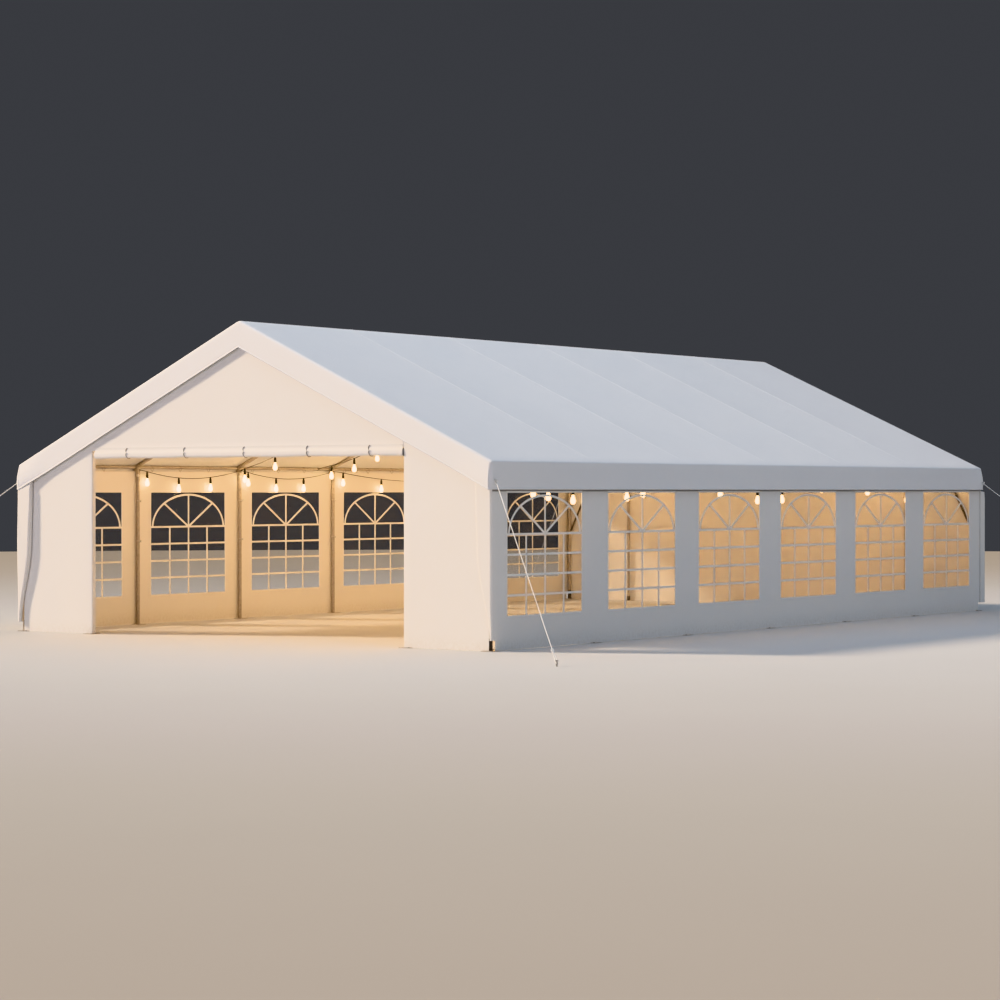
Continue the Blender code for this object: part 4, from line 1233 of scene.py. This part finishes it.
scattered("lampSockets", hung, lambda bm: lathe(bm, socketProfile, 16), socketRubber, "light_cable")
scattered("lampBulbs", hung, lambda bm: lathe(bm, bulbProfile, 18), litGlass, "light_cable", sharpAngle=80.0)
print("lamps", len(hung))

# guy ropes: braided, knotted at the valance eyelet, doubled through a slider near the stake
rope = {
    "radius": 0.0048, "thin": 0.9, "eyelet": (6.078, 1.878), "eyeletRing": (0.0125, 0.0028), "out": 0.009,
    "sag": 0.003, "stake": (5.6013, 7.6613, 0.035), "slider": 0.20, "spread": 0.0048, "stakeRadius": 0.009,
    "knot": 0.016, "knotSteps": 48, "knotLobes": 0.42, "knotDepth": 0.012, "knotAt": 0.010, "knotThin": 0.95,
    "straight": 0.02, "splayAt": 0.05, "splay": 1.4, "bend": range(-110, 111, 22),  # the bend in degrees
    "plate": (0.0168, 0.026, 0.0035), "plateSteps": 28, "hookRadius": 0.0042,
    "hook": ((0.008, 0.018), (0.020, 0.020), (0.027, 0.012), (0.028, -0.006)),  # out from the stake, and up
}


def addRope(side, end, corner):
    eyeletY, eyeletZ = rope["eyelet"]
    hang = (hall["railZ"] - eyeletZ) / (hall["railZ"] - hall["valanceFoot"])
    bulged = hall["coverX"] + cornerBulge(side, end, reachY - eyeletY, hang, 0.0)
    eyelet = Vector((side * (bulged + 0.0005), end * eyeletY, eyeletZ))
    start = Vector((side * (bulged + rope["out"]), end * eyeletY, eyeletZ - rope["sag"]))
    stakeX, stakeY, low = rope["stake"]
    foot = Vector((side * stakeX, end * stakeY, low))
    run = (foot - start).normalized()
    level = Vector((-run.y, run.x, 0)).normalized()
    upward = run.cross(level)
    around = Vector((run.x, run.y, 0)).normalized()
    slider = foot - run * rope["slider"]
    apart, thin = level * rope["spread"], rope["radius"] * rope["thin"]
    bm = bmesh.new()
    tubeMesh(bm, [start, start + run * rope["straight"], slider], rope["radius"], 10)
    wrap = rope["stakeRadius"] + thin
    bend = [foot + (around * cos(radians(a)) + level * sin(radians(a))) * wrap for a in rope["bend"]]
    middle, wide = slider + run * rope["splayAt"], apart * rope["splay"]
    tubeMesh(bm, [slider - apart, middle - wide, *bend, middle + wide, slider + apart], thin, 10)
    knot = []
    for k in range(rope["knotSteps"]):
        turn = tau * k / rope["knotSteps"]
        reach = rope["knot"] * (1 + rope["knotLobes"] * cos(3 * turn))
        knot.append(start + run * (rope["knotAt"] + rope["knotDepth"] * sin(3 * turn))
                    + level * reach * cos(2 * turn) + upward * reach * sin(2 * turn))
    tubeMesh(bm, knot, rope["radius"] * rope["knotThin"], 8, closed=True)
    addSolid(bm, f"guyRope_{corner}", ropeBraid, "guy_rope", f"guy_rope_{corner}", sharpAngle=60)
    bm = bmesh.new()  # the slider: a small plate with rounded ends
    halfX, halfY, halfZ = rope["plate"]
    outline = [slider + level * halfX * signedPower(cos(t), 0.5) + run * halfY * signedPower(sin(t), 0.7)
               for t in (tau * k / rope["plateSteps"] for k in range(rope["plateSteps"]))]
    tops, lows = ([bm.verts.new(spot + upward * halfZ * sign) for spot in outline] for sign in (1, -1))
    bm.faces.new(tops)
    bm.faces.new(lows[::-1])
    for a in range(len(tops)):
        bm.faces.new((tops[a - 1], tops[a], lows[a], lows[a - 1]))
    addSolid(bm, f"ropeSlider_{corner}", ballPlastic, "guy_rope")
    bm = bmesh.new()  # eyelet ring in the valance
    tubeMesh(bm, ring(eyelet, yAxis, zAxis, rope["eyeletRing"][0], 24), rope["eyeletRing"][1], 8, closed=True)
    addSolid(bm, f"ropeEyelet_{corner}", eyeletMetal, "steel_tube")
    bm = bmesh.new()  # hook welded to the stake, over the rope
    tubeMesh(bm, [foot + around * out + zAxis * high for out, high in rope["hook"]], rope["hookRadius"], 10)
    addSolid(bm, f"stakeHook_{corner}", stakeSteel, "stake_steel")


for sideName, side in sides:
    for endName, end in ends:
        addRope(side, end, f"{endName}_{sideName}")
        finishNode(f"ground_stake_{endName}_{sideName}", stakeSteel)
print("ropes and stakes")

# plastic straps that hold the cables to rails, posts and rafters
strap = {"radius": 0.0016, "rail": 0.0202, "post": 0.0262, "rafter": 0.0222, "steps": 20, "past": 0.005}
bm = bmesh.new()
for place in tiePlaces:
    x = abs(place.x)
    if x < 0.5:
        continue
    if x > 3.6:
        centre, first, second, radius = (hall["railX"], place.y, hall["railZ"]), xAxis, zAxis, strap["rail"]
    elif x > 3.5:
        centre, first, second, radius = (hall["postX"], place.y, place.z), xAxis, yAxis, strap["post"]
    else:
        centre, second, radius = (x, place.y, roofHeight(x, rafterInset)), yAxis, strap["rafter"]
        first = Vector((copysign(sin(pitch), place.x), 0, cos(pitch)))
    centre = Vector((copysign(centre[0], place.x), *centre[1:]))
    points = ring(centre, first, second, radius, strap["steps"])
    nearest = min(points, key=lambda point: (point - place).length)
    outward = -first if x < 3.5 else (place - centre).normalized()
    points[points.index(nearest)] = place + outward * strap["past"]
    tubeMesh(bm, points, strap["radius"], 6, closed=True)
addSolid(bm, "cableStraps", socketRubber, "light_cable")
print("straps")

# elastic ties round the rolled-up curtain, each held by a toggle on its front; the cords' grey-brown is
# painted shade, standing for the shadows that white elastic casts on the roll
toggle = {
    "length": 0.034, "radius": 0.0065, "cord": 0.0045, "middle": 2.222, "out": 0.009, "lobeSteps": 9,
    "under": range(65, 200, 15),  # degrees round the roll that the cord runs on
    "lobes": ((2.282, 2.222, 0.026), (2.222, 2.178, 0.010)),  # from, to, and how far each bows to the left
    "profile": ((0.55, 0.0), (0.9, 0.002), (1.0, 0.007), (0.72, 0.017)),  # in radii, and from the end
}
bm = bmesh.new()
toggles = []
for x in curtain["ties"]:
    points = []
    for high, low, bow in toggle["lobes"]:
        for share in steps(0.0, 1.0, 1 / toggle["lobeSteps"])[:-1]:
            z = high + (low - high) * share
            points.append(Vector((x - bow * sin(pi * share), curtainFront(x, z) - toggle["cord"], z)))
    points += [rollPoint(x, radians(degrees), stand=toggle["cord"]) for degrees in toggle["under"]]
    tubeMesh(bm, points, toggle["cord"], 8)
    toggles.append(((x, curtainFront(x, toggle["middle"]) - toggle["out"], toggle["middle"]), (0, pi / 2, 0)))
addSolid(bm, "curtainTies", tieCord, "guy_rope")


def toggleForm(bm):
    half = [(share * toggle["radius"], away - toggle["length"] / 2) for share, away in toggle["profile"]]
    lathe(bm, half + [(radius, -z) for radius, z in half[-2::-1]], 14)


scattered("curtainToggles", toggles, toggleForm, ballPlastic, "guy_rope")
print("curtain ties")
low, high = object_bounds()
